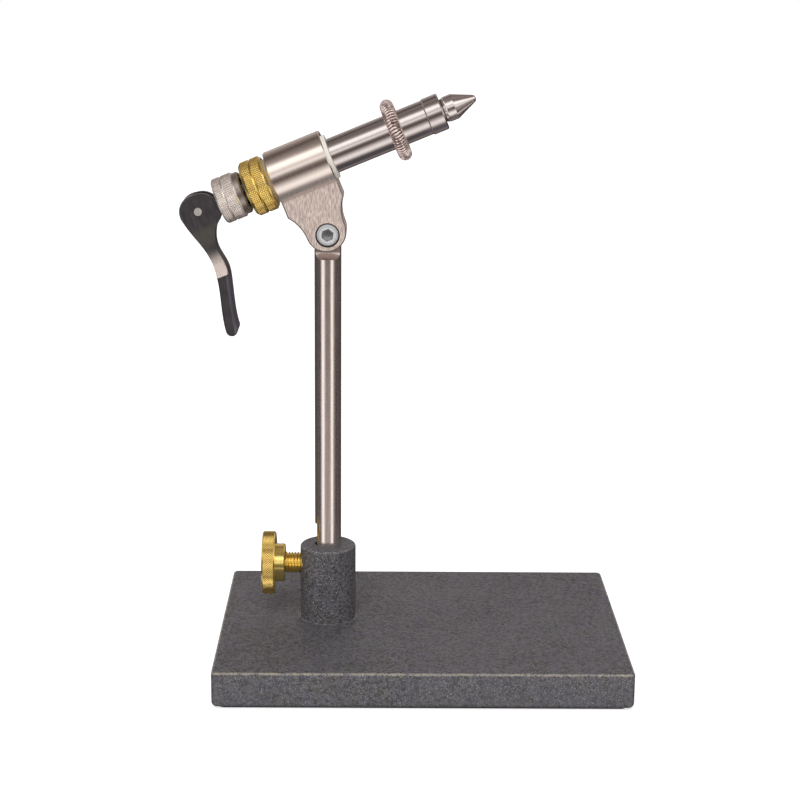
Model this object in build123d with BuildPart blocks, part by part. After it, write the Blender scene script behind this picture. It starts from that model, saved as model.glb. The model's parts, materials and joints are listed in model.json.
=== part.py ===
"""Rotary fly tying vise on a flat base: sizes in millimetres, +Z up, +X towards the jaws, +Y to the far side.

The origin is the middle of the face that the vise rests on.
"""

import os
from math import asin, atan2, cos, hypot, pi, radians, sin, sqrt, tan

from build123d import *

# Base plate and the pad under it
base_length = 145.0
base_width = 104.8
plate_thickness = 12.7
plate_corner_radius = 2.0
plate_edge_radius = 0.8
plate_foot_radius = 1.8
pad_thickness = 0.8
pad_inset = 2.4
stem_offset = 34.0
stem_setback = 3.8

# Stem socket and the screw that holds it from below
socket_diameter = 20.2
socket_height = 27.7
socket_rim_radius = 1.0
socket_floor = 2.0
spigot_diameter = 14.0
spigot_length = 6.0
socket_screw_diameter = 5.0
socket_screw_head_diameter = 10.0
socket_screw_head_angle = 90.0
socket_screw_grip = 4.5
socket_screw_hex = 3.0
socket_screw_hex_depth = 1.6

# Stem
stem_diameter = 9.525
flat_depth = 0.8
flat_height = 36.0
pivot_height = 142.4
tang_thickness = 4.0
tang_shoulder_drop = 6.2
stem_end_chamfer = 0.8

# Thumbscrew, its axis lies along X
thumbscrew_height = 20.3
thumb_thread_diameter = 7.9
thumb_standoff = 5.6
hub_diameter = 13.9
hub_length = 3.5
thumb_head_diameter = 23.0
thumb_head_length = 4.7
thumb_head_chamfer = 0.9
tip_diameter = 5.6
tip_length = 1.6
tip_peg_diameter = 2.6
tip_peg_length = 2.4

# Head: a barrel above a forked ear, tilted about the pivot
head_tilt = 22.5
barrel_diameter = 20.0
barrel_length = 21.0
barrel_edge = 0.35
axis_to_pivot = 24.3
ear_thickness = 12.0
ear_end_radius = 7.15
ear_end_rise = 1.3
ear_flare_rise = 10.5
ear_edge = 0.5
slot_room = 0.9

# Pivot screw
pivot_screw_diameter = 4.8
pivot_head_diameter = 7.6
pivot_head_height = 2.6
pivot_head_recess = 0.2
pivot_head_edge = 0.5
pivot_counterbore_diameter = 8.5
pivot_hex = 3.97
pivot_hex_depth = 1.7
pivot_drill_angle = 118.0
pivot_screw_end_inset = 0.5

# Bushings
flange_diameter = 15.9
flange_thickness = 1.2
bushing_wall = 1.25
bushing_length = 8.0

# Spindle tube and nose ring
journal_diameter = 11.0
tube_diameter = 12.4
tube_length = 35.4
tube_bore = 9.0
spring_seat = 14.5
nose_diameter = 13.05
nose_length = 6.0
nose_edge = 0.4
nose_spigot_diameter = 10.2
nose_spigot_length = 6.0
nose_bore = 7.5

# Jaws
jaw_body_diameter = 6.6
jaw_taper_diameter = 9.4
jaw_taper_length = 6.75
jaw_neck_diameter = 8.0
jaw_neck_length = 1.5
jaw_shank_diameter = 9.0
jaw_shank_length = 2.8
jaw_cone_length = 7.9
jaw_tip_radius = 1.5
jaw_tail_length = 12.0
jaw_slit = 0.12
jaw_seat_setback = 0.3

# Draw bar, hooked into the jaws' tails
draw_rod_diameter = 5.0
draw_collar_diameter = 8.2
draw_collar_length = 2.5
draw_collar_to_jaws = 5.0
hook_neck_diameter = 2.8
hook_head_diameter = 4.6
hook_head_length = 2.2
hook_wall = 2.2
eye_thickness = 4.0
eye_radius = 3.6

# Knurled nuts and rings behind the barrel, from front to rear
nut_diameter = 19.7
nut_width = 4.1
nut_outer_chamfer = 1.0
nut_inner_chamfer = 0.45
thread_gap = 1.1
ring_diameter = 16.4
ring_width = 4.0
ring_chamfer = 0.6
ring_groove_chamfer = 0.35
ring_hub_diameter = 15.1
ring_hub_length = 2.3
ring_hub_chamfer = 0.5
adjuster_width = 3.4
adjuster_wall = 1.2

# Cam lever and its pin; the cam is an off-centre disc round the pin
cam_reach = 7.65
cam_offset = 0.85
cam_boss_radius = 6.1
cam_boss_setback = 0.47
cam_boss_rise = 0.05
cam_width = 8.0
paddle_width = 12.7
cam_pin_diameter = 2.8
fork_depth = 5.0
flare_start = 11.0
flare_end = 24.0
arm_thickness = 4.15
arm_rear_root = 6.3
arm_rear_root_drop = 1.7
arm_shoulder = 4.75
arm_shoulder_drop = 7.9
arm_front_root = 5.5
arm_front_root_drop = 5.3
arm_throat = 2.95
arm_throat_drop = 8.4
arm_neck_drop = 14.0
arm_neck_setback = 0.95
arm_knee_drop = 21.0
arm_knee_setback = 0.41
arm_bend_drop = 28.0
arm_bend_setback = 1.7
arm_tip_drop = 42.6
arm_tip_setback = 5.42
lever_edge = 0.5

# Springs
clip_wire = 0.55
clip_coil_radius = 2.1
clip_turns = 41
clip_setback = 11.55
clip_join_angle = 6.0
return_wire = 1.0
return_coil_radius = 3.45
return_turns = 8
jaw_spring_wire = 0.35
jaw_spring_coil_radius = 0.75
jaw_spring_turns = 3
jaw_spring_length = 4.0

# Clearances
running_fit = 0.05
press_fit = 0.01
seat_gap = 0.05
side_gap = 0.1
cam_gap = 0.15
spring_gap = 0.15
taper_fit = 0.06
screw_fit = 0.1
overcut = 5.0

# Levels and axes
plate_top = pad_thickness + plate_thickness
stem_x = -stem_offset
stem_y = stem_setback
stem_radius = stem_diameter / 2
pivot_z = plate_top + pivot_height
stem_foot = plate_top + socket_floor
thumb_z = plate_top + thumbscrew_height

# The head's own plane, from the barrel's middle: x runs along the barrel, y away from the pivot
tilt = radians(head_tilt)
head_dir = Vector(cos(tilt), 0, sin(tilt))
rise_dir = Vector(-sin(tilt), 0, cos(tilt))
pivot_point = Vector(stem_x, stem_y, pivot_z)
head_center = pivot_point + rise_dir * axis_to_pivot
head_plane = Plane(origin=head_center, x_dir=head_dir, z_dir=(0, -1, 0))
head_axis = Axis(head_center, head_dir)

# Stations along the barrel's axis, from the barrel's middle
barrel_half = barrel_length / 2
shoulder_at = barrel_half + flange_thickness
tube_end = shoulder_at + tube_length
clip_station = tube_end - clip_setback
nose_end = tube_end + nose_length
tension_front = -(barrel_half + flange_thickness + seat_gap)
tension_rear = tension_front - nut_width
lock_front = tension_rear - side_gap
lock_rear = lock_front - nut_width
ring_hub_front = lock_rear - thread_gap
ring_front = ring_hub_front - ring_hub_length
ring_rear = ring_front - ring_width
adjuster_front = ring_rear - side_gap
adjuster_rear = adjuster_front - adjuster_width
spindle_rear = adjuster_rear + adjuster_wall + side_gap
pin_at = adjuster_rear - cam_reach - cam_gap
taper_end = nose_end - jaw_seat_setback
taper_start = taper_end - jaw_taper_length
jaw_tail_at = taper_start - jaw_tail_length
neck_end = nose_end + jaw_neck_length
shank_end = neck_end + jaw_shank_length
jaw_tip = shank_end + jaw_cone_length
collar_front = jaw_tail_at - draw_collar_to_jaws
collar_rear = collar_front - draw_collar_length
spring_seat_at = barrel_half - spring_seat

os.makedirs("parts", exist_ok=True)


def spring_path(points, tangents, lead):
    """Joins points by pairs of arcs that follow the tangents, with a straight lead at each end."""
    with BuildLine() as path:
        Line(points[0] - tangents[0] * lead, points[0])
        for start, end, leave, arrive in zip(points, points[1:], tangents, tangents[1:]):
            span = end - start
            both = leave + arrive
            turn = 2 * (1 - leave.dot(arrive))
            reach = (sqrt(span.dot(both) ** 2 + turn * span.dot(span)) - span.dot(both)) / turn
            corner_in = start + leave * reach
            corner_out = end - arrive * reach
            middle = (corner_in + corner_out) * 0.5
            TangentArc(start, middle, tangent=leave)
            TangentArc(middle, end, tangent=corner_out - corner_in)
        Line(points[-1], points[-1] + tangents[-1] * lead)
    return path.wire()


def coil(start, axis, side, radius, length, turns):
    """Gives the points and tangents of a straight coil at every half turn, from start along axis."""
    across = axis.cross(side)
    points = []
    tangents = []
    for half in range(2 * turns + 1):
        sign = 1 if half % 2 == 0 else -1
        points.append(start + axis * (length * half / (2 * turns)) + side * (sign * radius))
        tangents.append((axis * (length / (2 * turns)) + across * (sign * radius * pi)).normalized())
    return points, tangents


def ring_coil(center, axis, side, ring_radius, coil_radius, turns, join_angle):
    """Gives the points and tangents of a coil bent into a ring, at every half turn, open at the join."""
    across = axis.cross(side)
    step = radians(360 - join_angle) / (2 * turns)
    points = []
    tangents = []
    for half in range(2 * turns + 1):
        sign = 1 if half % 2 == 0 else -1
        angle = radians(join_angle) / 2 + step * half
        outward = side * cos(angle) + across * sin(angle)
        along = across * cos(angle) - side * sin(angle)
        reach = ring_radius + sign * coil_radius
        points.append(center + outward * reach)
        tangents.append((along * (reach * step) + axis * (sign * coil_radius * pi)).normalized())
    return points, tangents


def print_least_gap(name, path, wire, turns):
    """Measures on points how near a spring comes to its own neighbouring turns, and prints it."""
    per_turn = 40
    count = per_turn * turns
    points = [path.position_at(i / count) for i in range(count + 1)]
    nearest = min(
        (points[i] - points[j]).length
        for i in range(count + 1)
        for j in range(i + per_turn // 2, min(i + 2 * per_turn, count + 1))
    )
    nearest = min(nearest, (points[0] - points[-1]).length)
    print(f"{name}: least gap to itself {nearest - wire:.2f} mm")


# Base plate: rounded block with a seat for the socket's spigot and a countersunk hole from below
with BuildPart() as base_plate:
    with BuildSketch(Plane.XY.offset(pad_thickness)):
        RectangleRounded(base_length, base_width, plate_corner_radius)
    extrude(amount=plate_thickness)
    fillet(base_plate.faces().sort_by(Axis.Z)[-1].edges(), plate_edge_radius)
    fillet(base_plate.faces().sort_by(Axis.Z)[0].edges(), plate_foot_radius)
    with BuildSketch(Plane.XY.offset(plate_top - spigot_length - seat_gap)):
        with Locations((stem_x, stem_y)):
            Circle(spigot_diameter / 2 + press_fit)
    extrude(amount=spigot_length + overcut, mode=Mode.SUBTRACT)
    with Locations(Plane(origin=(stem_x, stem_y, pad_thickness), x_dir=(1, 0, 0), z_dir=(0, 0, -1))):
        CounterSinkHole(
            radius=socket_screw_diameter / 2 + screw_fit,
            counter_sink_radius=socket_screw_head_diameter / 2 + screw_fit,
            counter_sink_angle=socket_screw_head_angle,
        )
base_plate.part.label = "base_plate"
export_step(base_plate.part, "parts/base_plate.step")

# Non-slip pad under the plate
with BuildPart() as base_pad:
    with BuildSketch():
        RectangleRounded(base_length - 2 * pad_inset, base_width - 2 * pad_inset, plate_corner_radius)
    extrude(amount=pad_thickness)
base_pad.part.label = "base_pad"
export_step(base_pad.part, "parts/base_pad.step")

# Stem socket: turned post with a spigot, a bore for the stem and a threaded side hole
with BuildPart() as stem_socket:
    with Locations((stem_x, stem_y, plate_top)):
        Cylinder(socket_diameter / 2, socket_height, align=(Align.CENTER, Align.CENTER, Align.MIN))
    fillet(stem_socket.edges().sort_by(Axis.Z)[-1], socket_rim_radius)
    with Locations((stem_x, stem_y, plate_top)):
        Cylinder(spigot_diameter / 2, spigot_length, align=(Align.CENTER, Align.CENTER, Align.MAX))
    with BuildSketch(Plane.XY.offset(stem_foot)):
        with Locations((stem_x, stem_y)):
            Circle(stem_radius + running_fit)
    extrude(amount=socket_height, mode=Mode.SUBTRACT)
    with BuildSketch(Plane.XY.offset(plate_top - spigot_length)):
        with Locations((stem_x, stem_y)):
            Circle(socket_screw_diameter / 2 + press_fit)
    extrude(amount=socket_screw_grip + side_gap, mode=Mode.SUBTRACT)
    with BuildSketch(Plane(origin=(stem_x, stem_y, thumb_z), x_dir=(0, 1, 0), z_dir=(-1, 0, 0))):
        Circle(thumb_thread_diameter / 2 + running_fit)
    extrude(amount=socket_diameter, mode=Mode.SUBTRACT)
stem_socket.part.label = "stem_socket"
export_step(stem_socket.part, "parts/stem_socket.step")

# Flat head screw from below, its head level with the plate's underside
socket_screw_top = plate_top - spigot_length + socket_screw_grip
socket_screw_rim = (socket_screw_head_diameter - socket_screw_diameter) / 2
socket_screw_cone = socket_screw_rim / tan(radians(socket_screw_head_angle / 2))
with BuildPart() as socket_screw:
    with BuildSketch(Plane(origin=(stem_x, stem_y, pad_thickness), x_dir=(1, 0, 0), z_dir=(0, -1, 0))):
        with BuildLine():
            Polyline(
                (0, 0),
                (socket_screw_head_diameter / 2, 0),
                (socket_screw_diameter / 2, socket_screw_cone),
                (socket_screw_diameter / 2, socket_screw_top - pad_thickness),
                (0, socket_screw_top - pad_thickness),
                close=True,
            )
        make_face()
    revolve(axis=Axis((stem_x, stem_y, 0), (0, 0, 1)))
    with BuildSketch(Plane.XY.offset(pad_thickness)):
        with Locations((stem_x, stem_y)):
            RegularPolygon(socket_screw_hex / 2, 6, major_radius=False)
    extrude(amount=socket_screw_hex_depth, mode=Mode.SUBTRACT)
socket_screw.part.label = "socket_screw"
export_step(socket_screw.part, "parts/socket_screw.step")

# Stem: round rod, a flat for the thumbscrew, and a tang with concave shoulders that the ear's fork takes
shoulder_radius = stem_radius - tang_thickness / 2
tang_base = pivot_z - tang_shoulder_drop
with BuildPart() as stem:
    with BuildSketch(Plane.XY.offset(stem_foot)):
        with Locations((stem_x, stem_y)):
            Circle(stem_radius)
    extrude(amount=pivot_z + stem_radius - stem_foot)
    chamfer(stem.edges().sort_by(Axis.Z)[0], stem_end_chamfer)
    with BuildSketch(Plane(origin=(stem_x, stem_y, 0), x_dir=(1, 0, 0), z_dir=(0, -1, 0))):
        with Locations((0, stem_foot)):
            Rectangle(stem_diameter, pivot_z - stem_foot, align=(Align.CENTER, Align.MIN))
        with Locations((0, pivot_z)):
            Circle(stem_radius)
    extrude(amount=stem_diameter, both=True, mode=Mode.INTERSECT)
    with BuildSketch(Plane(origin=(stem_x, stem_y, 0), x_dir=(0, 1, 0), z_dir=(1, 0, 0))):
        with BuildLine():
            top = pivot_z + stem_diameter
            inner = tang_thickness / 2
            shoulder = tang_base - shoulder_radius
            Polyline((stem_diameter, shoulder), (stem_diameter, top), (inner, top), (inner, tang_base))
            TangentArc((inner, tang_base), (stem_radius, shoulder), tangent=(0, -1))
            Line((stem_radius, shoulder), (stem_diameter, shoulder))
        make_face()
        mirror(about=Plane.YZ)
    extrude(amount=stem_diameter, both=True, mode=Mode.SUBTRACT)
    with Locations((stem_x - stem_radius + flat_depth, stem_y, stem_foot - overcut)):
        Box(
            stem_diameter,
            stem_diameter,
            plate_top + flat_height - stem_foot + overcut,
            align=(Align.MAX, Align.CENTER, Align.MIN),
            mode=Mode.SUBTRACT,
        )
    with BuildSketch(Plane(origin=pivot_point, x_dir=(1, 0, 0), z_dir=(0, -1, 0))):
        Circle(pivot_screw_diameter / 2 + running_fit)
    extrude(amount=stem_diameter, both=True, mode=Mode.SUBTRACT)
stem.part.label = "stem"
export_step(stem.part, "parts/stem.step")

# Thumbscrew: thread, hub and wide head, with a blind hole for the tip's peg
flat_x = stem_radius - flat_depth
tip_face = flat_x + seat_gap
thread_end = tip_face + tip_length
hub_start = socket_diameter / 2 + thumb_standoff
head_start = hub_start + hub_length
head_end = head_start + thumb_head_length
thumb_plane = Plane(origin=(stem_x, stem_y, thumb_z), x_dir=(-1, 0, 0), z_dir=(0, 1, 0))
thumb_axis = Axis((stem_x, stem_y, thumb_z), (-1, 0, 0))
with BuildPart() as thumbscrew:
    with BuildSketch(thumb_plane):
        with BuildLine():
            Polyline(
                (thread_end + tip_peg_length + side_gap, 0),
                (thread_end + tip_peg_length + side_gap, tip_peg_diameter / 2 + running_fit),
                (thread_end, tip_peg_diameter / 2 + running_fit),
                (thread_end, thumb_thread_diameter / 2),
                (hub_start, thumb_thread_diameter / 2),
                (hub_start, hub_diameter / 2),
                (head_start, hub_diameter / 2),
                (head_start, thumb_head_diameter / 2 - thumb_head_chamfer),
                (head_start + thumb_head_chamfer, thumb_head_diameter / 2),
                (head_end - thumb_head_chamfer, thumb_head_diameter / 2),
                (head_end, thumb_head_diameter / 2 - thumb_head_chamfer),
                (head_end, 0),
                close=True,
            )
        make_face()
    revolve(axis=thumb_axis)
thumbscrew.part.label = "thumbscrew"
export_step(thumbscrew.part, "parts/thumbscrew.step")

# Soft tip pressed into the thumbscrew's end
with BuildPart() as thumbscrew_tip:
    with BuildSketch(thumb_plane):
        with BuildLine():
            Polyline(
                (tip_face, 0),
                (tip_face, tip_diameter / 2),
                (thread_end, tip_diameter / 2),
                (thread_end, tip_peg_diameter / 2),
                (thread_end + tip_peg_length, tip_peg_diameter / 2),
                (thread_end + tip_peg_length, 0),
                close=True,
            )
        make_face()
    revolve(axis=thumb_axis)
thumbscrew_tip.part.label = "thumbscrew_tip"
export_step(thumbscrew_tip.part, "parts/thumbscrew_tip.step")

# Head body: ear with a slot for the stem's tang, barrel across its top, counterbored pivot hole
slot_width = tang_thickness + 2 * running_fit
slot_top = stem_radius + slot_room
bushing_diameter = journal_diameter + 2 * (running_fit + bushing_wall)
ear_end_y = ear_end_rise - axis_to_pivot
ear_flare_y = ear_flare_rise - axis_to_pivot
with BuildPart() as head_body:
    with BuildSketch(head_plane):
        with BuildLine():
            Line((0, 0), (barrel_half, 0))
            Line((barrel_half, 0), (barrel_half, ear_flare_y))
            TangentArc((ear_end_radius, ear_end_y), (barrel_half, ear_flare_y), tangent=(0, 1))
            RadiusArc((ear_end_radius, ear_end_y), (0, ear_end_y - ear_end_radius), ear_end_radius)
            mirror(about=Plane.YZ)
        make_face()
    extrude(amount=ear_thickness / 2, both=True)
    chamfer(head_body.faces().filter_by(Axis.Y).edges(), ear_edge)
    with BuildSketch(head_plane):
        with BuildLine():
            Polyline(
                (-barrel_half, 0),
                (-barrel_half, barrel_diameter / 2 - barrel_edge),
                (barrel_edge - barrel_half, barrel_diameter / 2),
                (barrel_half - barrel_edge, barrel_diameter / 2),
                (barrel_half, barrel_diameter / 2 - barrel_edge),
                (barrel_half, 0),
                close=True,
            )
        make_face()
    revolve(axis=head_axis)
    with BuildSketch(Plane(origin=head_center, x_dir=(0, 1, 0), z_dir=head_dir)):
        Circle(bushing_diameter / 2 + press_fit)
    extrude(amount=barrel_length, both=True, mode=Mode.SUBTRACT)
    with BuildSketch(head_plane):
        with Locations((0, slot_top - axis_to_pivot)):
            Rectangle(barrel_length + overcut, slot_top + axis_to_pivot, align=(Align.CENTER, Align.MAX))
    extrude(amount=slot_width / 2, both=True, mode=Mode.SUBTRACT)
    with BuildSketch(Plane(origin=pivot_point, x_dir=head_dir, z_dir=(0, -1, 0))):
        Circle(pivot_screw_diameter / 2 + press_fit)
    extrude(amount=ear_thickness, both=True, mode=Mode.SUBTRACT)
    front_face = Plane(origin=pivot_point - Vector(0, ear_thickness / 2, 0), x_dir=head_dir, z_dir=(0, 1, 0))
    with BuildSketch(front_face):
        Circle(pivot_counterbore_diameter / 2)
    extrude(amount=pivot_head_height + pivot_head_recess, mode=Mode.SUBTRACT)
head_body.part.label = "head_body"
export_step(head_body.part, "parts/head_body.step")

# Pivot screw: low head in the counterbore, drilled hex socket, thread in the far cheek
screw_seat = pivot_head_height + pivot_head_recess
with BuildPart() as pivot_screw:
    with BuildSketch(front_face.offset(pivot_head_recess)):
        Circle(pivot_head_diameter / 2)
    extrude(amount=pivot_head_height)
    chamfer(pivot_screw.edges().sort_by(Axis.Y)[0], pivot_head_edge)
    with BuildSketch(front_face.offset(screw_seat)):
        Circle(pivot_screw_diameter / 2)
    extrude(amount=ear_thickness - screw_seat - pivot_screw_end_inset)
    with BuildSketch(front_face.offset(pivot_head_recess)):
        RegularPolygon(pivot_hex / 2, 6, major_radius=False)
    extrude(amount=pivot_hex_depth, mode=Mode.SUBTRACT)
    with Locations(front_face.offset(pivot_head_recess + pivot_hex_depth)):
        Cone(
            bottom_radius=pivot_hex / 2,
            top_radius=0,
            height=pivot_hex / 2 / tan(radians(pivot_drill_angle / 2)),
            align=(Align.CENTER, Align.CENTER, Align.MIN),
            mode=Mode.SUBTRACT,
        )
pivot_screw.part.label = "pivot_screw"
export_step(pivot_screw.part, "parts/pivot_screw.step")

# Flanged bushings, front and rear
with BuildPart() as front_bushing:
    with BuildSketch(head_plane):
        with BuildLine():
            Polyline(
                (shoulder_at - seat_gap, journal_diameter / 2 + running_fit),
                (shoulder_at - seat_gap, flange_diameter / 2),
                (barrel_half, flange_diameter / 2),
                (barrel_half, bushing_diameter / 2),
                (barrel_half - bushing_length, bushing_diameter / 2),
                (barrel_half - bushing_length, journal_diameter / 2 + running_fit),
                close=True,
            )
        make_face()
    revolve(axis=head_axis)
front_bushing.part.label = "front_bushing"
export_step(front_bushing.part, "parts/front_bushing.step")

with BuildPart() as rear_bushing:
    with BuildSketch(head_plane):
        with BuildLine():
            Polyline(
                (-barrel_half - flange_thickness, journal_diameter / 2 + running_fit),
                (-barrel_half - flange_thickness, flange_diameter / 2),
                (-barrel_half, flange_diameter / 2),
                (-barrel_half, bushing_diameter / 2),
                (bushing_length - barrel_half, bushing_diameter / 2),
                (bushing_length - barrel_half, journal_diameter / 2 + running_fit),
                close=True,
            )
        make_face()
    revolve(axis=head_axis)
rear_bushing.part.label = "rear_bushing"
export_step(rear_bushing.part, "parts/rear_bushing.step")

# Spindle tube: journal through the barrel, wider tube in front of it, stepped bore
with BuildPart() as spindle_tube:
    with BuildSketch(head_plane):
        with BuildLine():
            Polyline(
                (spindle_rear, draw_rod_diameter / 2 + running_fit),
                (spindle_rear, journal_diameter / 2),
                (shoulder_at, journal_diameter / 2),
                (shoulder_at, tube_diameter / 2),
                (tube_end, tube_diameter / 2),
                (tube_end, nose_spigot_diameter / 2 + press_fit),
                (tube_end - nose_spigot_length - side_gap, nose_spigot_diameter / 2 + press_fit),
                (tube_end - nose_spigot_length - side_gap, tube_bore / 2),
                (spring_seat_at, tube_bore / 2),
                (spring_seat_at, draw_rod_diameter / 2 + running_fit),
                close=True,
            )
        make_face()
    revolve(axis=head_axis)
spindle_tube.part.label = "spindle_tube"
export_step(spindle_tube.part, "parts/spindle_tube.step")

# Nose ring: spigot in the tube, taper that closes the jaws
taper_slope = (jaw_taper_diameter - jaw_body_diameter) / 2 / jaw_taper_length
nose_mouth = jaw_taper_diameter / 2 + taper_fit + taper_slope * jaw_seat_setback
nose_taper_length = (nose_mouth - nose_bore / 2) / taper_slope
with BuildPart() as nose_ring:
    with BuildSketch(head_plane):
        with BuildLine():
            Polyline(
                (tube_end - nose_spigot_length, nose_bore / 2),
                (tube_end - nose_spigot_length, nose_spigot_diameter / 2),
                (tube_end, nose_spigot_diameter / 2),
                (tube_end, nose_diameter / 2 - nose_edge),
                (tube_end + nose_edge, nose_diameter / 2),
                (nose_end - nose_edge, nose_diameter / 2),
                (nose_end, nose_diameter / 2 - nose_edge),
                (nose_end, nose_mouth),
                (nose_end - nose_taper_length, nose_bore / 2),
                close=True,
            )
        make_face()
    revolve(axis=head_axis)
nose_ring.part.label = "nose_ring"
export_step(nose_ring.part, "parts/nose_ring.step")

# Draw bar: eye for the cam pin, rod, spring collar and a hook head that the jaws' tails close round
hook_back = jaw_tail_at + hook_wall
hook_front = hook_back + hook_head_length
with BuildPart() as draw_bar:
    with BuildSketch(head_plane):
        with BuildLine():
            Polyline(
                (pin_at, 0),
                (pin_at, draw_rod_diameter / 2),
                (collar_rear, draw_rod_diameter / 2),
                (collar_rear, draw_collar_diameter / 2),
                (collar_front, draw_collar_diameter / 2),
                (collar_front, draw_rod_diameter / 2),
                (jaw_tail_at - side_gap, draw_rod_diameter / 2),
                (jaw_tail_at - side_gap, hook_neck_diameter / 2),
                (hook_back, hook_neck_diameter / 2),
                (hook_back, hook_head_diameter / 2),
                (hook_front, hook_head_diameter / 2),
                (hook_front, 0),
                close=True,
            )
        make_face()
    revolve(axis=head_axis)
    with BuildSketch(head_plane):
        with Locations((pin_at, 0)):
            Circle(eye_radius)
    extrude(amount=eye_thickness / 2, both=True)
    for side in (1, -1):
        with BuildSketch(head_plane.offset(side * eye_thickness / 2)):
            with Locations((adjuster_rear, 0)):
                Rectangle(
                    adjuster_rear - pin_at + eye_radius,
                    2 * eye_radius,
                    align=(Align.MAX, Align.CENTER),
                )
        extrude(amount=side * draw_rod_diameter, mode=Mode.SUBTRACT)
    with BuildSketch(head_plane):
        with Locations((pin_at, 0)):
            Circle(cam_pin_diameter / 2 + running_fit)
    extrude(amount=draw_rod_diameter, both=True, mode=Mode.SUBTRACT)
draw_bar.part.label = "draw_bar"
export_step(draw_bar.part, "parts/draw_bar.step")

# Jaws: one turned cone with a flared neck, a closing taper and a hollow tail, split into a near and a far half
tip_center = jaw_tip - jaw_tip_radius
cone_run = tip_center - shank_end
cone_angle = atan2(jaw_shank_diameter / 2, cone_run)
cone_angle -= asin(jaw_tip_radius / hypot(jaw_shank_diameter / 2, cone_run))
tip_start = (tip_center + jaw_tip_radius * sin(cone_angle), jaw_tip_radius * cos(cone_angle))
jaw_spring_at = (hook_front + taper_start) / 2
jaw_spring_hole = jaw_spring_coil_radius + jaw_spring_wire / 2 + side_gap
for side, jaw_name in ((1, "near_jaw"), (-1, "far_jaw")):
    with BuildPart() as jaw:
        with BuildSketch(head_plane):
            with BuildLine():
                Polyline(
                    (jaw_tip, 0),
                    (jaw_tail_at, 0),
                    (jaw_tail_at, jaw_body_diameter / 2),
                    (taper_start, jaw_body_diameter / 2),
                    (taper_end, jaw_taper_diameter / 2),
                    (taper_end, jaw_neck_diameter / 2),
                    (nose_end, jaw_neck_diameter / 2),
                    (neck_end, jaw_shank_diameter / 2),
                    (shank_end, jaw_shank_diameter / 2),
                    tip_start,
                )
                TangentArc(tip_start, (jaw_tip, 0), tangent=(cos(cone_angle), -sin(cone_angle)))
            make_face()
        revolve(axis=head_axis)
        with BuildSketch(head_plane):
            with BuildLine():
                Polyline(
                    (jaw_tail_at - overcut, 0),
                    (jaw_tail_at - overcut, hook_neck_diameter / 2 + side_gap),
                    (hook_back - side_gap, hook_neck_diameter / 2 + side_gap),
                    (hook_back - side_gap, hook_head_diameter / 2 + side_gap),
                    (hook_front + side_gap, hook_head_diameter / 2 + side_gap),
                    (hook_front + side_gap, 0),
                    close=True,
                )
            make_face()
        revolve(axis=head_axis, mode=Mode.SUBTRACT)
        with BuildSketch(head_plane):
            with Locations((jaw_spring_at, 0)):
                Circle(jaw_spring_hole)
        extrude(amount=jaw_spring_length / 2 + side_gap, both=True, mode=Mode.SUBTRACT)
        split(bisect_by=head_plane.offset(side * jaw_slit / 2), keep=Keep.TOP if side > 0 else Keep.BOTTOM)
    jaw.part.label = jaw_name
    export_step(jaw.part, f"parts/{jaw_name}.step")

# Brass nuts on the spindle's thread: the front one sets the drag of the rotation, the rear one locks it
thread_bore = journal_diameter / 2 + running_fit
for nut_name, nut_front, front_chamfer, rear_chamfer in (
    ("tension_nut", tension_front, nut_outer_chamfer, nut_inner_chamfer),
    ("lock_nut", lock_front, nut_inner_chamfer, nut_outer_chamfer),
):
    with BuildPart() as nut:
        with BuildSketch(head_plane):
            with BuildLine():
                Polyline(
                    (nut_front, thread_bore),
                    (nut_front, nut_diameter / 2 - front_chamfer),
                    (nut_front - front_chamfer, nut_diameter / 2),
                    (nut_front - nut_width + rear_chamfer, nut_diameter / 2),
                    (nut_front - nut_width, nut_diameter / 2 - rear_chamfer),
                    (nut_front - nut_width, thread_bore),
                    close=True,
                )
            make_face()
        revolve(axis=head_axis)
    nut.part.label = nut_name
    export_step(nut.part, f"parts/{nut_name}.step")

# Silver rings on the spindle's rear end: a locking ring with a hub, and the adjuster that the cam bears on
with BuildPart() as adjuster_lock_ring:
    with BuildSketch(head_plane):
        with BuildLine():
            Polyline(
                (ring_hub_front, thread_bore),
                (ring_hub_front, ring_hub_diameter / 2 - ring_hub_chamfer),
                (ring_hub_front - ring_hub_chamfer, ring_hub_diameter / 2),
                (ring_front, ring_hub_diameter / 2),
                (ring_front, ring_diameter / 2 - ring_groove_chamfer),
                (ring_front - ring_groove_chamfer, ring_diameter / 2),
                (ring_rear + ring_groove_chamfer, ring_diameter / 2),
                (ring_rear, ring_diameter / 2 - ring_groove_chamfer),
                (ring_rear, thread_bore),
                close=True,
            )
        make_face()
    revolve(axis=head_axis)
adjuster_lock_ring.part.label = "adjuster_lock_ring"
export_step(adjuster_lock_ring.part, "parts/adjuster_lock_ring.step")

with BuildPart() as adjuster_knob:
    with BuildSketch(head_plane):
        with BuildLine():
            Polyline(
                (adjuster_front, thread_bore),
                (adjuster_front, ring_diameter / 2 - ring_groove_chamfer),
                (adjuster_front - ring_groove_chamfer, ring_diameter / 2),
                (adjuster_rear + ring_chamfer, ring_diameter / 2),
                (adjuster_rear, ring_diameter / 2 - ring_chamfer),
                (adjuster_rear, draw_rod_diameter / 2 + side_gap),
                (adjuster_rear + adjuster_wall, draw_rod_diameter / 2 + side_gap),
                (adjuster_rear + adjuster_wall, thread_bore),
                close=True,
            )
        make_face()
    revolve(axis=head_axis)
adjuster_knob.part.label = "adjuster_knob"
export_step(adjuster_knob.part, "parts/adjuster_knob.step")

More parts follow.
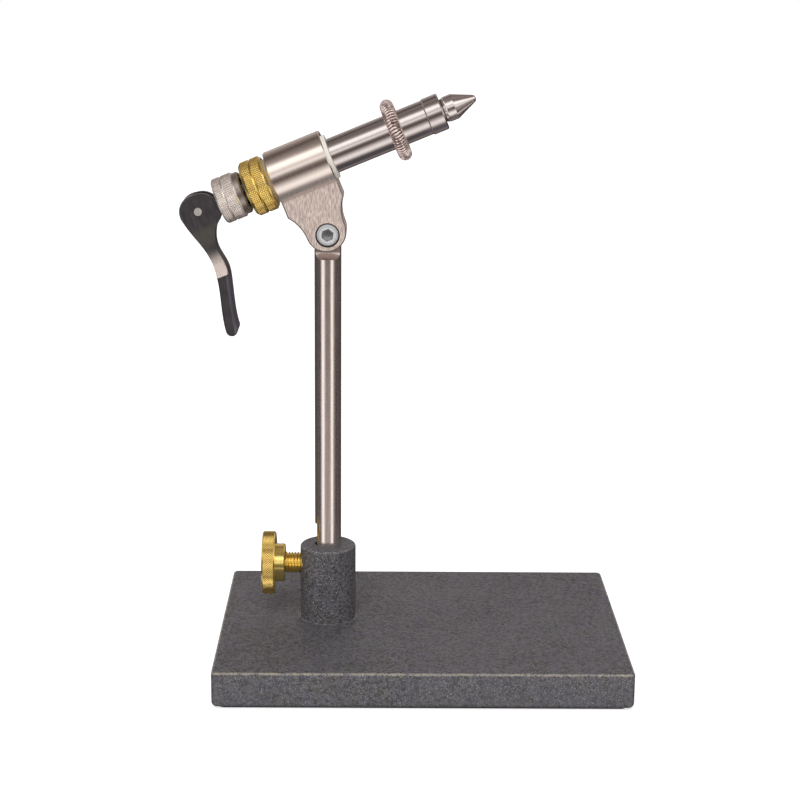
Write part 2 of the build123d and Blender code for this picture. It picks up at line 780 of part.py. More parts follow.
# Cam lever: off-centre cam disc, swept arm, cheeks thinner than the paddle, fork for the draw bar's eye
pin_point = head_center + head_dir * pin_at
lever_plane = Plane(origin=pin_point, x_dir=head_dir, z_dir=(0, -1, 0))
lever_section = Plane(origin=pin_point, x_dir=(0, 1, 0), z_dir=head_dir)
cam_radius = cam_reach - cam_offset
arm_half = arm_thickness / 2
lever_span = cam_reach + arm_tip_drop
with BuildPart() as cam_lever:
    with BuildSketch(lever_plane):
        with Locations((cam_offset, -cam_offset)):
            Circle(cam_radius)
        with Locations((-cam_boss_setback, cam_boss_rise)):
            Circle(cam_boss_radius)
        make_hull()
        with BuildLine():
            rear_edge = Spline(
                (-arm_rear_root, -arm_rear_root_drop),
                (-arm_shoulder, -arm_shoulder_drop),
                (-arm_neck_setback - arm_half, -arm_neck_drop),
                (-arm_knee_setback - arm_half, -arm_knee_drop),
                (-arm_bend_setback - arm_half, -arm_bend_drop),
                (-arm_tip_setback - arm_half, -arm_tip_drop),
            )
            front_edge = Spline(
                (-arm_tip_setback + arm_half, -arm_tip_drop),
                (-arm_bend_setback + arm_half, -arm_bend_drop),
                (-arm_knee_setback + arm_half, -arm_knee_drop),
                (-arm_neck_setback + arm_half, -arm_neck_drop),
                (arm_throat, -arm_throat_drop),
                (arm_front_root, -arm_front_root_drop),
            )
            TangentArc(rear_edge @ 1, front_edge @ 0, tangent=rear_edge % 1)
            Polyline(front_edge @ 1, (0, 0), rear_edge @ 0)
        make_face()
    extrude(amount=paddle_width / 2, both=True)
    with BuildSketch(lever_section):
        with BuildLine():
            cheek = cam_width / 2
            paddle = paddle_width / 2
            Line((cheek, -flare_start), (cheek, cam_reach + overcut))
            Line((cheek, cam_reach + overcut), (paddle + overcut, cam_reach + overcut))
            Line((paddle + overcut, cam_reach + overcut), (paddle + overcut, -flare_end))
            Line((paddle + overcut, -flare_end), (paddle, -flare_end))
            TangentArc((cheek, -flare_start), (paddle, -flare_end), tangent=(0, -1))
        make_face()
        mirror(about=Plane.YZ)
    extrude(amount=lever_span, both=True, mode=Mode.SUBTRACT)
    paddle_faces = cam_lever.faces().filter_by(Axis.Y).sort_by(Axis.Y)
    paddle_edges = paddle_faces[0].edges() + paddle_faces[-1].edges()
    chamfer(paddle_edges.filter_by(GeomType.BSPLINE), lever_edge)
    with BuildSketch(lever_section):
        with Locations((0, -fork_depth)):
            Rectangle(
                eye_thickness + 2 * side_gap,
                fork_depth + cam_reach + overcut,
                align=(Align.CENTER, Align.MIN),
            )
    extrude(amount=lever_span, both=True, mode=Mode.SUBTRACT)
    with BuildSketch(lever_plane):
        Circle(cam_pin_diameter / 2 + press_fit)
    extrude(amount=paddle_width, both=True, mode=Mode.SUBTRACT)
cam_lever.part.label = "cam_lever"
export_step(cam_lever.part, "parts/cam_lever.step")

# Cam pin, level with the lever's cheeks
with BuildPart() as cam_pin:
    with BuildSketch(lever_plane):
        Circle(cam_pin_diameter / 2)
    extrude(amount=cam_width / 2, both=True)
cam_pin.part.label = "cam_pin"
export_step(cam_pin.part, "parts/cam_pin.step")

# Material spring: a wire coil bent into a ring round the tube, its ends apart at the far side
clip_ring_radius = tube_diameter / 2 + spring_gap + clip_wire / 2 + clip_coil_radius
clip_points, clip_tangents = ring_coil(
    head_center + head_dir * clip_station,
    head_dir,
    Vector(0, 1, 0),
    clip_ring_radius,
    clip_coil_radius,
    clip_turns,
    clip_join_angle,
)
clip_path = spring_path(clip_points, clip_tangents, clip_wire)
with BuildPart() as material_spring:
    with BuildSketch(Plane(origin=clip_path @ 0, z_dir=clip_path % 0)):
        Circle(clip_wire / 2)
    sweep(path=clip_path)
material_spring.part.label = "material_spring"
export_step(material_spring.part, "parts/material_spring.step")
print_least_gap("material_spring", clip_path, clip_wire, clip_turns)

# Return spring round the draw bar, between the tube's inner step and the bar's collar
return_start = spring_seat_at + spring_gap + return_wire
return_points, return_tangents = coil(
    head_center + head_dir * return_start,
    head_dir,
    rise_dir,
    return_coil_radius,
    collar_rear - spring_gap - return_wire - return_start,
    return_turns,
)
return_path = spring_path(return_points, return_tangents, return_wire)
with BuildPart() as return_spring:
    with BuildSketch(Plane(origin=return_path @ 0, z_dir=return_path % 0)):
        Circle(return_wire / 2)
    sweep(path=return_path)
return_spring.part.label = "return_spring"
export_step(return_spring.part, "parts/return_spring.step")
print_least_gap("return_spring", return_path, return_wire, return_turns)

# Jaw spring in its hole across the split, spreads the jaws
jaw_spring_half = jaw_spring_length / 2 - jaw_spring_wire
jaw_spring_points, jaw_spring_tangents = coil(
    head_center + head_dir * jaw_spring_at - Vector(0, jaw_spring_half, 0),
    Vector(0, 1, 0),
    head_dir,
    jaw_spring_coil_radius,
    2 * jaw_spring_half,
    jaw_spring_turns,
)
jaw_spring_path = spring_path(jaw_spring_points, jaw_spring_tangents, jaw_spring_wire)
with BuildPart() as jaw_spring:
    with BuildSketch(Plane(origin=jaw_spring_path @ 0, z_dir=jaw_spring_path % 0)):
        Circle(jaw_spring_wire / 2)
    sweep(path=jaw_spring_path)
jaw_spring.part.label = "jaw_spring"
export_step(jaw_spring.part, "parts/jaw_spring.step")
print_least_gap("jaw_spring", jaw_spring_path, jaw_spring_wire, jaw_spring_turns)
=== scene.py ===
"""Looks for a rotary fly tying vise: its finishes, knurled rings, thumbscrew, wound springs and stage."""

import json
import math

import bmesh
import bpy
from bpy.props import FloatProperty, FloatVectorProperty, IntProperty, PointerProperty
from mathutils import Matrix, Vector


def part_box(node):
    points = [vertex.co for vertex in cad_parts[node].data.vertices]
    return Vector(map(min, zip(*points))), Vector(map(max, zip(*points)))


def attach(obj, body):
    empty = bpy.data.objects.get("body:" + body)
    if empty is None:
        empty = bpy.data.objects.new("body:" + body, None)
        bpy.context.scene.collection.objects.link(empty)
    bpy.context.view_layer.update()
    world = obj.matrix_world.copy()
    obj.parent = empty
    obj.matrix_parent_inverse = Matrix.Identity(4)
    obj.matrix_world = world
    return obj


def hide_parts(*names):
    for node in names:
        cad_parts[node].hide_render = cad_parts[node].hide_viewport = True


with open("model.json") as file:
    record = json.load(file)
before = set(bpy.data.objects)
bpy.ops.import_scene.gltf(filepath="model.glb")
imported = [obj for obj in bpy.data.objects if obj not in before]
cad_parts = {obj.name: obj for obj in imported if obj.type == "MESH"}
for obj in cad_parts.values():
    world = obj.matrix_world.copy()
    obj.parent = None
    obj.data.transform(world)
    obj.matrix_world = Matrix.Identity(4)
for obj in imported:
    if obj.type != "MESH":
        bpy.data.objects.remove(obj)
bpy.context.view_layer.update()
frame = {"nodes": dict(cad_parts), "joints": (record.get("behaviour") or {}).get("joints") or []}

bl_info = {
    "name": "Fly Tying Vise",
    "version": (1, 0, 0),
    "blender": (4, 5, 0),
    "location": "3D View > Sidebar > Vise",
    "description": "Dresses a rotary fly tying vise and sets it on a pale stage",
    "category": "Object",
}

MM = 0.001
QUARTER_TURN = math.pi / 2
FULL_TURN = 2 * math.pi
MERGE_DISTANCE = 2e-7
SMOOTH_ANGLE = math.radians(30)
VALLEY = "valley"
EVEN = (1, 1, 1)
UNTURNED = (0, 0, 0)
WHITE = (1, 1, 1, 1)
RGB = {"size": 3, "min": 0, "max": 1}

# Most of a noise's values lie in this range.
MOST = (0.3, 0.7)

joints = {joint["name"]: joint for joint in frame["joints"]}


def axis_place(origin, along, side):
    """Gives the placement of a frame whose Z runs along an axis and whose X points to a side."""
    z = Vector(along).normalized()
    y = z.cross(Vector(side)).normalized()
    x = y.cross(z)
    placement = Matrix((x, y, z)).transposed().to_4x4()
    placement.translation = Vector(origin)
    return placement


rotary = joints["rotary"]
HEAD = axis_place(rotary["pos_m"], rotary["axis"], (-rotary["axis"][2], 0, rotary["axis"][0]))
THUMB = axis_place(joints["thumbscrew_turn"]["pos_m"], (-1, 0, 0), (0, 0, 1))
HEAD_TURN = QUARTER_TURN - math.atan2(rotary["axis"][2], rotary["axis"][0])
HEAD_TILT = math.radians(22.5)
PIVOT = tuple(joints["head_tilt"]["pos_m"])
LEVER_PIN = tuple(joints["lever_swing"]["pos_m"])

# Each pair is the place and the angles that a pattern is centred on and turned by.
MODEL_AXES = ((0, 0, 0), UNTURNED)
HEAD_AXES = (tuple(HEAD.translation), (0, HEAD_TURN, 0))
EAR_AXES = (tuple(HEAD.translation), UNTURNED)
THUMB_AXES = (tuple(THUMB.translation), (0, QUARTER_TURN, 0))
LEVER_AXES = (LEVER_PIN, (0, -HEAD_TILT, 0))
PIN_AXES = (LEVER_PIN, UNTURNED)


class ViseSizes(bpy.types.PropertyGroup):
    """Sizes of the turned, knurled and wound pieces"""

    nut_knurl: FloatProperty(
        name="Nut knurl pitch", description="Width of one diamond on the brass nuts",
        default=0.95 * MM, unit="LENGTH")
    nut_knurl_depth: FloatProperty(
        name="Nut knurl depth", description="Depth of the diamonds on the brass nuts",
        default=0.2 * MM, unit="LENGTH")
    head_knurl: FloatProperty(
        name="Thumbscrew knurl pitch", description="Width of one diamond on the thumbscrew's head",
        default=0.86 * MM, unit="LENGTH")
    head_knurl_depth: FloatProperty(
        name="Thumbscrew knurl depth", description="Depth of the diamonds on the thumbscrew's head",
        default=0.2 * MM, unit="LENGTH")
    ring_knurl: FloatProperty(
        name="Ring knurl pitch", description="Width of one diamond on the silver rings",
        default=0.8 * MM, unit="LENGTH")
    ring_knurl_depth: FloatProperty(
        name="Ring knurl depth", description="Depth of the diamonds on the silver rings",
        default=0.13 * MM, unit="LENGTH")
    nut_chamfer: FloatProperty(
        name="Nut chamfer", description="Chamfer on the outer sides of the pair of brass nuts",
        default=1.0 * MM, unit="LENGTH")
    groove_chamfer: FloatProperty(
        name="Groove chamfer", description="Chamfer where the two brass nuts meet",
        default=0.45 * MM, unit="LENGTH")
    thread_pitch: FloatProperty(
        name="Thread pitch", description="Rise of the thumbscrew's thread in one turn",
        default=25.4 / 24 * MM, unit="LENGTH")
    thread_depth: FloatProperty(
        name="Thread depth", description="Depth of the thumbscrew's thread",
        default=0.58 * MM, unit="LENGTH")
    clip_turns: IntProperty(
        name="Clip turns", description="Turns of wire in the material spring", default=62)
    clip_wire: FloatProperty(
        name="Clip wire", description="Wire diameter of the material spring",
        default=0.62 * MM, unit="LENGTH")


class ViseColours(bpy.types.PropertyGroup):
    """Colours of the finishes"""

    coating: FloatVectorProperty(
        name="Coating", description="Textured coating of the plate and socket",
        default=(0.0895, 0.087, 0.0975), subtype="COLOR", **RGB)
    # Light flecks, partly the coating's own and partly painted glints on its pebbles.
    fleck_and_glint: FloatVectorProperty(
        name="Fleck", description="Light flecks in the coating",
        default=(0.40, 0.385, 0.36), subtype="COLOR", **RGB)
    rubber: FloatVectorProperty(
        name="Pad", description="Sheet under the plate",
        default=(0.016, 0.016, 0.017), subtype="COLOR", **RGB)
    stem: FloatVectorProperty(
        name="Stem", description="Ground stainless rod",
        default=(0.64, 0.57, 0.535), subtype="COLOR", **RGB)
    head: FloatVectorProperty(
        name="Head", description="Turned barrel",
        default=(0.79, 0.71, 0.655), subtype="COLOR", **RGB)
    ear: FloatVectorProperty(
        name="Ear", description="Flat sides of the ear below the barrel",
        default=(0.76, 0.63, 0.57), subtype="COLOR", **RGB)
    tube: FloatVectorProperty(
        name="Tube", description="Polished tube, nose and jaws",
        default=(0.65, 0.60, 0.585), subtype="COLOR", **RGB)
    brass: FloatVectorProperty(
        name="Brass", description="Nuts and thumbscrew",
        default=(1.0, 0.745, 0.245), subtype="COLOR", **RGB)
    silver: FloatVectorProperty(
        name="Silver rings", description="Locking ring and adjuster",
        default=(1.0, 0.87, 0.805), subtype="COLOR", **RGB)
    zinc: FloatVectorProperty(
        name="Zinc", description="Screws",
        default=(0.95, 0.955, 0.965), subtype="COLOR", **RGB)
    black: FloatVectorProperty(
        name="Black oxide", description="Cam lever",
        default=(0.082, 0.076, 0.080), subtype="COLOR", **RGB)
    cream: FloatVectorProperty(
        name="Bushing", description="Front bushing and the thumbscrew's tip",
        default=(1.0, 0.94, 0.87), subtype="COLOR", **RGB)
    tan: FloatVectorProperty(
        name="Rear bushing", description="Stained rear bushing",
        default=(0.46, 0.36, 0.24), subtype="COLOR", **RGB)
    wire: FloatVectorProperty(
        name="Wire", description="Spring wire",
        default=(0.80, 0.68, 0.65), subtype="COLOR", **RGB)


def sizes():
    return bpy.context.scene.vise_sizes


def colours():
    return bpy.context.scene.vise_colours


# Node tools


def opaque(colour):
    return (*colour, 1.0)


def shade(colour, share):
    """Gives a colour made darker or lighter by a share."""
    return tuple(min(1.0, part * share) for part in colour)


def tinted(colour, shares):
    """Gives a colour with each of its parts changed by its own share."""
    return tuple(part * share for part, share in zip(colour, shares))


def node(tree, kind, sockets=None, **settings):
    """Adds a node, sets its settings, and sets or links its input sockets by name or number."""
    made = tree.nodes.new(kind)
    for name, value in settings.items():
        setattr(made, name, value)
    for key, value in (sockets or {}).items():
        if isinstance(value, bpy.types.NodeSocket):
            tree.links.new(value, made.inputs[key])
        else:
            made.inputs[key].default_value = value
    return made


def maths(tree, operation, *values):
    """Gives the result of a maths node."""
    return node(tree, "ShaderNodeMath", dict(enumerate(values)), operation=operation).outputs[0]


def vector_maths(tree, operation, *vectors):
    """Gives the result of a vector maths node, a number for LENGTH."""
    made = node(tree, "ShaderNodeVectorMath", dict(enumerate(vectors)), operation=operation)
    return made.outputs["Value" if operation == "LENGTH" else "Vector"]


def product(tree, *values):
    """Multiplies values together."""
    result = values[0]
    for value in values[1:]:
        result = maths(tree, "MULTIPLY", result, value)
    return result


def greater(tree, first, second):
    return maths(tree, "MAXIMUM", first, second)


def spread(tree, value, low, high, to_low, to_high):
    """Maps a value's range to another one, held at the ends."""
    made = node(tree, "ShaderNodeMapRange", {
        "Value": value, "From Min": low, "From Max": high, "To Min": to_low, "To Max": to_high})
    return made.outputs["Result"]


def blended(tree, factor, first, second):
    """Mixes two colours by a factor."""
    made = node(tree, "ShaderNodeMix", {"Factor": factor}, data_type="RGBA")
    for socket, colour in ((made.inputs[6], first), (made.inputs[7], second)):
        if isinstance(colour, bpy.types.NodeSocket):
            tree.links.new(colour, socket)
        else:
            socket.default_value = opaque(colour)
    return made.outputs[2]


def between(tree, factor, first, second):
    """Mixes two numbers by a factor."""
    return node(tree, "ShaderNodeMix", {"Factor": factor, 2: first, 3: second}).outputs[0]


def object_place(tree):
    return node(tree, "ShaderNodeTexCoord").outputs["Object"]


def turned_coordinates(tree, axes, stretch=EVEN):
    """Gives object coordinates moved to a place, turned, and stretched along the turned axes."""
    place, angles = axes
    mapping = node(tree, "ShaderNodeMapping", {
        "Vector": object_place(tree), "Location": place, "Rotation": angles, "Scale": stretch,
    }, vector_type="TEXTURE")
    return mapping.outputs["Vector"]


def split(tree, vector):
    """Gives a vector's parts, named X, Y and Z."""
    return node(tree, "ShaderNodeSeparateXYZ", {"Vector": vector}).outputs


def distance(tree, vector, point, ways):
    """Gives a vector's distance from a point, measured only in the ways that are 1."""
    offset = vector_maths(tree, "SUBTRACT", vector, point)
    return vector_maths(tree, "LENGTH", vector_maths(tree, "MULTIPLY", offset, ways))


def pivot_distance(tree):
    """Gives the distance from the pivot screw's axis."""
    return distance(tree, object_place(tree), PIVOT, (1, 0, 1))


def noise(tree, vector, grain, detail=2.0):
    """Gives a soft noise with grains of a size in metres."""
    made = node(tree, "ShaderNodeTexNoise", {"Vector": vector, "Scale": 1 / grain, "Detail": detail})
    return made.outputs["Fac"]


def bumped(tree, shader, height, strength, depth):
    """Links a height pattern to the shader as bump."""
    made = node(tree, "ShaderNodeBump", {"Height": height, "Strength": strength, "Distance": depth})
    tree.links.new(made.outputs["Normal"], shader.inputs["Normal"])


def new_finish(name, colour, metallic, roughness):
    """Starts a material with one shader, and returns the material, its node tree and the shader."""
    material = bpy.data.materials.new(name)
    material.use_nodes = True
    tree = material.node_tree
    shader = tree.nodes["Principled BSDF"]
    shader.inputs["Base Color"].default_value = opaque(colour)
    shader.inputs["Metallic"].default_value = metallic
    shader.inputs["Roughness"].default_value = roughness
    return material, tree, shader


def overlay(material, factor, colour):
    """Lays a colour over a finish's own by a factor."""
    tree = material.node_tree
    socket = tree.nodes["Principled BSDF"].inputs["Base Color"]
    tree.links.new(blended(tree, factor, socket.links[0].from_socket, colour), socket)


# Finishes


def metal_finish(name, colour, roughness, axes, stretch, grain, depth, contrast=0.12, metallic=1.0):
    """A metal whose tool marks run along the stretched axes, with a slow cloud of wear in its gloss."""
    cloud_size = 7 * MM
    least_rough, most_rough = roughness * 0.78, roughness * 1.25
    material, tree, shader = new_finish(name, colour, metallic, roughness)
    marks = noise(tree, turned_coordinates(tree, axes, stretch), grain, 3.0)
    cloud = noise(tree, turned_coordinates(tree, axes), cloud_size)
    worn = maths(tree, "ADD", marks, cloud)
    tree.links.new(spread(tree, worn, 0.7, 1.3, least_rough, most_rough), shader.inputs["Roughness"])
    light = spread(tree, marks, *MOST, 0, 1)
    tint = blended(tree, light, shade(colour, 1 - contrast), shade(colour, 1 + contrast))
    tree.links.new(tint, shader.inputs["Base Color"])
    bumped(tree, shader, marks, 0.5, depth)
    return material


def knurled_finish(name, colour, roughness, axes, valley_shade_share, metallic):
    """A turned metal whose knurl has painted shade in its valleys, broken up by a noise."""
    mark_size, mark_depth = 0.4 * MM, 0.01 * MM
    valley_shade_break_size = 0.9 * MM
    round_about = (6, 6, 1)
    material = metal_finish(name, colour, roughness, axes, round_about, mark_size, mark_depth,
                            metallic=metallic)
    tree = material.node_tree
    depth = node(tree, "ShaderNodeAttribute", attribute_name=VALLEY).outputs["Fac"]
    valley_shade_break = noise(tree, turned_coordinates(tree, axes), valley_shade_break_size)
    # Painted shade: the knurl's valleys are darkened to a share of the colour, patchily.
    sunk = product(tree, spread(tree, depth, 0.4, 0.9, 0, 1), spread(tree, valley_shade_break, 0.35, 0.6, 0.7, 1))
    overlay(material, sunk, tinted(colour, valley_shade_share))
    return material


def darken_beyond(material, station, way, colour):
    """Gives a finish another colour on one side of a station on the head's axis."""
    fade = 0.1 * MM
    tree = material.node_tree
    height = split(tree, turned_coordinates(tree, HEAD_AXES))["Z"]
    overlay(material, spread(tree, height, station, station + way * fade, 0, 1), colour)


def head_finish():
    """Turned marks round the barrel, and paler flat sides brushed upright on the ear below it, with painted
    shade on the ear's chamfered edges and in the counterbore round the pivot.
    """
    barrel, ear = colours().head, colours().ear
    barrel_end, ear_start = 10.03 * MM, 10.35 * MM
    matt_start, matt_end = 4.5 * MM, 7.5 * MM
    chamfer_shade_inner, chamfer_shade_outer, chamfer_shade_fade = 5.5 * MM, 5.9 * MM, 0.08 * MM
    bore, bore_fade = 4.22 * MM, 0.08 * MM
    material, tree, shader = new_finish("brushed_head", barrel, 1.0, 0.3)
    along = turned_coordinates(tree, HEAD_AXES)
    parts = split(tree, along)
    below = spread(tree, distance(tree, along, (0, 0, 0), (1, 1, 0)), barrel_end, ear_start, 0, 1)
    matt = greater(tree, below, spread(tree, parts["X"], matt_start, matt_end, 0, 0.7))
    rings = noise(tree, turned_coordinates(tree, HEAD_AXES, (14, 14, 1)), 0.3 * MM, 3.0)
    strokes = noise(tree, turned_coordinates(tree, EAR_AXES, (1, 1, 6)), 0.33 * MM, 4.0)
    cloud = noise(tree, along, 5 * MM)
    barrel_tint = blended(tree, spread(tree, rings, *MOST, 0, 1), shade(barrel, 0.97), shade(barrel, 1.03))
    ear_tint = blended(tree, spread(tree, strokes, 0.34, 0.66, 0, 1), shade(ear, 0.62), shade(ear, 1.32))
    ear_tint = blended(tree, spread(tree, cloud, *MOST, 0, 0.25), ear_tint, shade(ear, 0.82))
    tint = blended(tree, matt, barrel_tint, ear_tint)
    aside = maths(tree, "ABSOLUTE", parts["Y"])
    # Painted shade: a dark line on the ear's chamfered edges.
    chamfer_shade = product(tree, below, spread(tree, aside, chamfer_shade_inner, chamfer_shade_inner + chamfer_shade_fade, 0, 0.75),
                   spread(tree, aside, chamfer_shade_outer, chamfer_shade_outer + chamfer_shade_fade, 1, 0))
    tint = blended(tree, chamfer_shade, tint, shade(ear, 0.12))
    # Painted shade: the counterbore round the pivot screw is darkened to near black.
    sunk = product(tree, below, spread(tree, pivot_distance(tree), bore, bore + bore_fade, 1, 0))
    tint = blended(tree, sunk, tint, shade(ear, 0.03))
    tree.links.new(tint, shader.inputs["Base Color"])
    tree.links.new(spread(tree, matt, 0, 1, 1, 0.5), shader.inputs["Metallic"])
    turned_gloss = spread(tree, rings, *MOST, 0.13, 0.18)
    brushed_gloss = spread(tree, strokes, *MOST, 0.42, 0.58)
    tree.links.new(between(tree, matt, turned_gloss, brushed_gloss), shader.inputs["Roughness"])
    bumped(tree, shader, between(tree, below, rings, strokes), 0.4, 0.003 * MM)
    return material


def painted_edge_highlights(tree, vector):
    """Marks the painted highlights on the rounded top edges of the plate, and, apart from them, on the
    socket's rim and foot.
    """
    edge = 0.9 * MM
    crest = 0.3 * MM
    rim_share, foot_share = 0.5, 0.6
    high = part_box("base_plate")[1]
    socket_low, socket_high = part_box("stem_socket")
    middle = (socket_low + socket_high) / 2
    reach = (socket_high.x - socket_low.x) / 2
    parts = split(tree, vector)
    sides = [
        spread(tree, maths(tree, "ABSOLUTE", parts[name]), far - edge, far - crest, 0, 1)
        for name, far in (("X", high.x), ("Y", high.y))
    ]
    near_top = spread(tree, parts["Z"], high.z - edge, high.z - crest, 0, 1)
    off_socket = spread(tree, parts["Z"], high.z, high.z + edge, 1, 0)
    plate = product(tree, near_top, greater(tree, *sides), off_socket)
    radius = distance(tree, vector, (middle.x, middle.y, 0), (1, 1, 0))
    rim = product(tree, spread(tree, radius, reach - edge, reach - crest, 0, rim_share),
                  spread(tree, parts["Z"], socket_high.z - edge, socket_high.z - crest, 0, 1))
    foot = product(tree, spread(tree, radius, reach + edge, reach + crest, 0, foot_share),
                   spread(tree, parts["Z"], high.z, high.z + crest, 1, 0), near_top)
    return plate, greater(tree, rim, foot)


def coating_finish():
    """Pebbled powder coat: fine bumps with light flecks, and painted highlights along its rounded edges."""
    colour = colours().coating
    edge_highlight_colour = (0.43, 0.38, 0.30)
    violet_shares, olive_shares = (1.08, 0.94, 1.25), (1.02, 1.0, 0.75)
    pebble_size, bump_depth = 0.95 * MM, 0.22 * MM
    material, tree, shader = new_finish("textured_coating", colour, 0.0, 0.5)
    vector = object_place(tree)
    pebbles = node(tree, "ShaderNodeTexVoronoi", {
        "Vector": vector, "Scale": 1 / pebble_size, "Randomness": 1.0, "Smoothness": 0.6,
    }, feature="SMOOTH_F1")
    crowns = spread(tree, pebbles.outputs["Distance"], 0.1, 0.65, 1, 0)
    fine = noise(tree, vector, 0.42 * MM, 3.0)
    coarse = noise(tree, vector, 1.3 * MM)
    broad = noise(tree, vector, 22 * MM)
    patches = spread(tree, noise(tree, vector, 5 * MM, 3.0), 0.4, 0.6, 0, 1)
    violet = shade(tinted(colour, violet_shares), 1.2)
    olive = shade(tinted(colour, olive_shares), 1.2)
    pebble = blended(tree, patches, violet, olive)
    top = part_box("base_plate")[1].z
    rise = split(tree, vector)["Z"]
    sheer = spread(tree, rise, top - 1.5 * MM, top - 0.5 * MM, 1, 0)
    # Painted shade: the pits between the pebbles are darkened, more on the top than on the upright faces.
    pits = blended(tree, sheer, shade(colour, 0.32), shade(colour, 0.55))
    ground = blended(tree, crowns, pits, pebble)
    ground = blended(tree, spread(tree, coarse, 0.42, 0.6, 0, 0.6), ground, shade(colour, 1.75))
    ground = blended(tree, spread(tree, broad, 0.35, 0.65, 0, 0.25), ground, shade(colour, 1.5))
    normal = node(tree, "ShaderNodeNewGeometry").outputs["Normal"]
    upright = spread(tree, maths(tree, "ABSOLUTE", split(tree, normal)["Z"]), 0.1, 0.7, 1, 0)
    amount = spread(tree, rise, top - 9 * MM, top + 2 * MM, 0.02, 0.25)
    drift = spread(tree, noise(tree, vector, 9 * MM), 0.4, 0.6, 0.35, 1)
    # Painted highlights on the plate's top edges and round the socket's rim and foot.
    edge_highlight, socket_highlight = painted_edge_highlights(tree, vector)
    # More flecks show on the painted highlights, and on upright faces towards the top.
    worn = greater(tree, greater(tree, edge_highlight, socket_highlight), product(tree, upright, amount, drift))
    # The flecks stand partly for painted glints on the pebbles.
    fleck_start = spread(tree, worn, 0, 1, 0.57, 0.36)
    fleck_end = spread(tree, worn, 0, 1, 0.74, 0.6)
    tint = blended(tree, spread(tree, fine, fleck_start, fleck_end, 0, 1), ground, colours().fleck_and_glint)
    # The plate's edge highlight is painted in a pale warm colour, broken up by noise.
    broken_edge_highlight = product(tree, edge_highlight, spread(tree, coarse, 0.4, 0.6, 0.35, 1),
                    spread(tree, noise(tree, vector, 4 * MM), 0.42, 0.56, 0.2, 1))
    tree.links.new(blended(tree, broken_edge_highlight, tint, edge_highlight_colour), shader.inputs["Base Color"])
    tree.links.new(spread(tree, fine, *MOST, 0.4, 0.6), shader.inputs["Roughness"])
    bumped(tree, shader, maths(tree, "MULTIPLY_ADD", fine, 0.75, crowns), 0.6, bump_depth)
    return material


def soft_finish(name, colour, roughness, grain, depth):
    """Plastic or rubber with a faint grain and slight unevenness of colour."""
    cloud_size = 6 * MM
    material, tree, shader = new_finish(name, colour, 0.0, roughness)
    vector = object_place(tree)
    skin = noise(tree, vector, grain, 3.0)
    cloud = noise(tree, vector, cloud_size)
    tree.links.new(blended(tree, cloud, shade(colour, 0.9), shade(colour, 1.08)), shader.inputs["Base Color"])
    gloss = spread(tree, skin, *MOST, roughness * 0.85, roughness * 1.15)
    tree.links.new(gloss, shader.inputs["Roughness"])
    bumped(tree, shader, skin, 0.4, depth)
    return material


def plastic(name, colour):
    """The soft finish of the bushings and the thumbscrew's tip."""
    return soft_finish(name, colour, 0.5, 0.5 * MM, 0.02 * MM)


def pivot_screw_finish():
    """Bright zinc with a darker ring round the face, and painted shade in the drilled socket."""
    colour = colours().zinc
    ring_inner, ring_outer, ring_fade = 2.8 * MM, 3.2 * MM, 0.15 * MM
    hole_radius, hole_fade = 2.2 * MM, 0.2 * MM
    hole_start, hole_dark = 0.25 * MM, 0.8 * MM
    material = metal_finish("bright_screw", colour, 0.24, MODEL_AXES, EVEN, 0.5 * MM, 0.012 * MM, 0.14, 0.3)
    tree = material.node_tree
    radius = pivot_distance(tree)
    ring = product(tree, spread(tree, radius, ring_inner, ring_inner + ring_fade, 0, 0.5),
                   spread(tree, radius, ring_outer, ring_outer + ring_fade, 1, 0))
    overlay(material, ring, shade(colour, 0.5))
    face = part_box("pivot_screw")[0].y
    # Painted shade in the drilled socket, darkening with depth.
    deep = spread(tree, split(tree, object_place(tree))["Y"], face + hole_start, face + hole_dark, 0, 1)
    hole = product(tree, deep, spread(tree, radius, hole_radius, hole_radius + hole_fade, 1, 0))
    overlay(material, hole, shade(colour, 0.3))
    return material


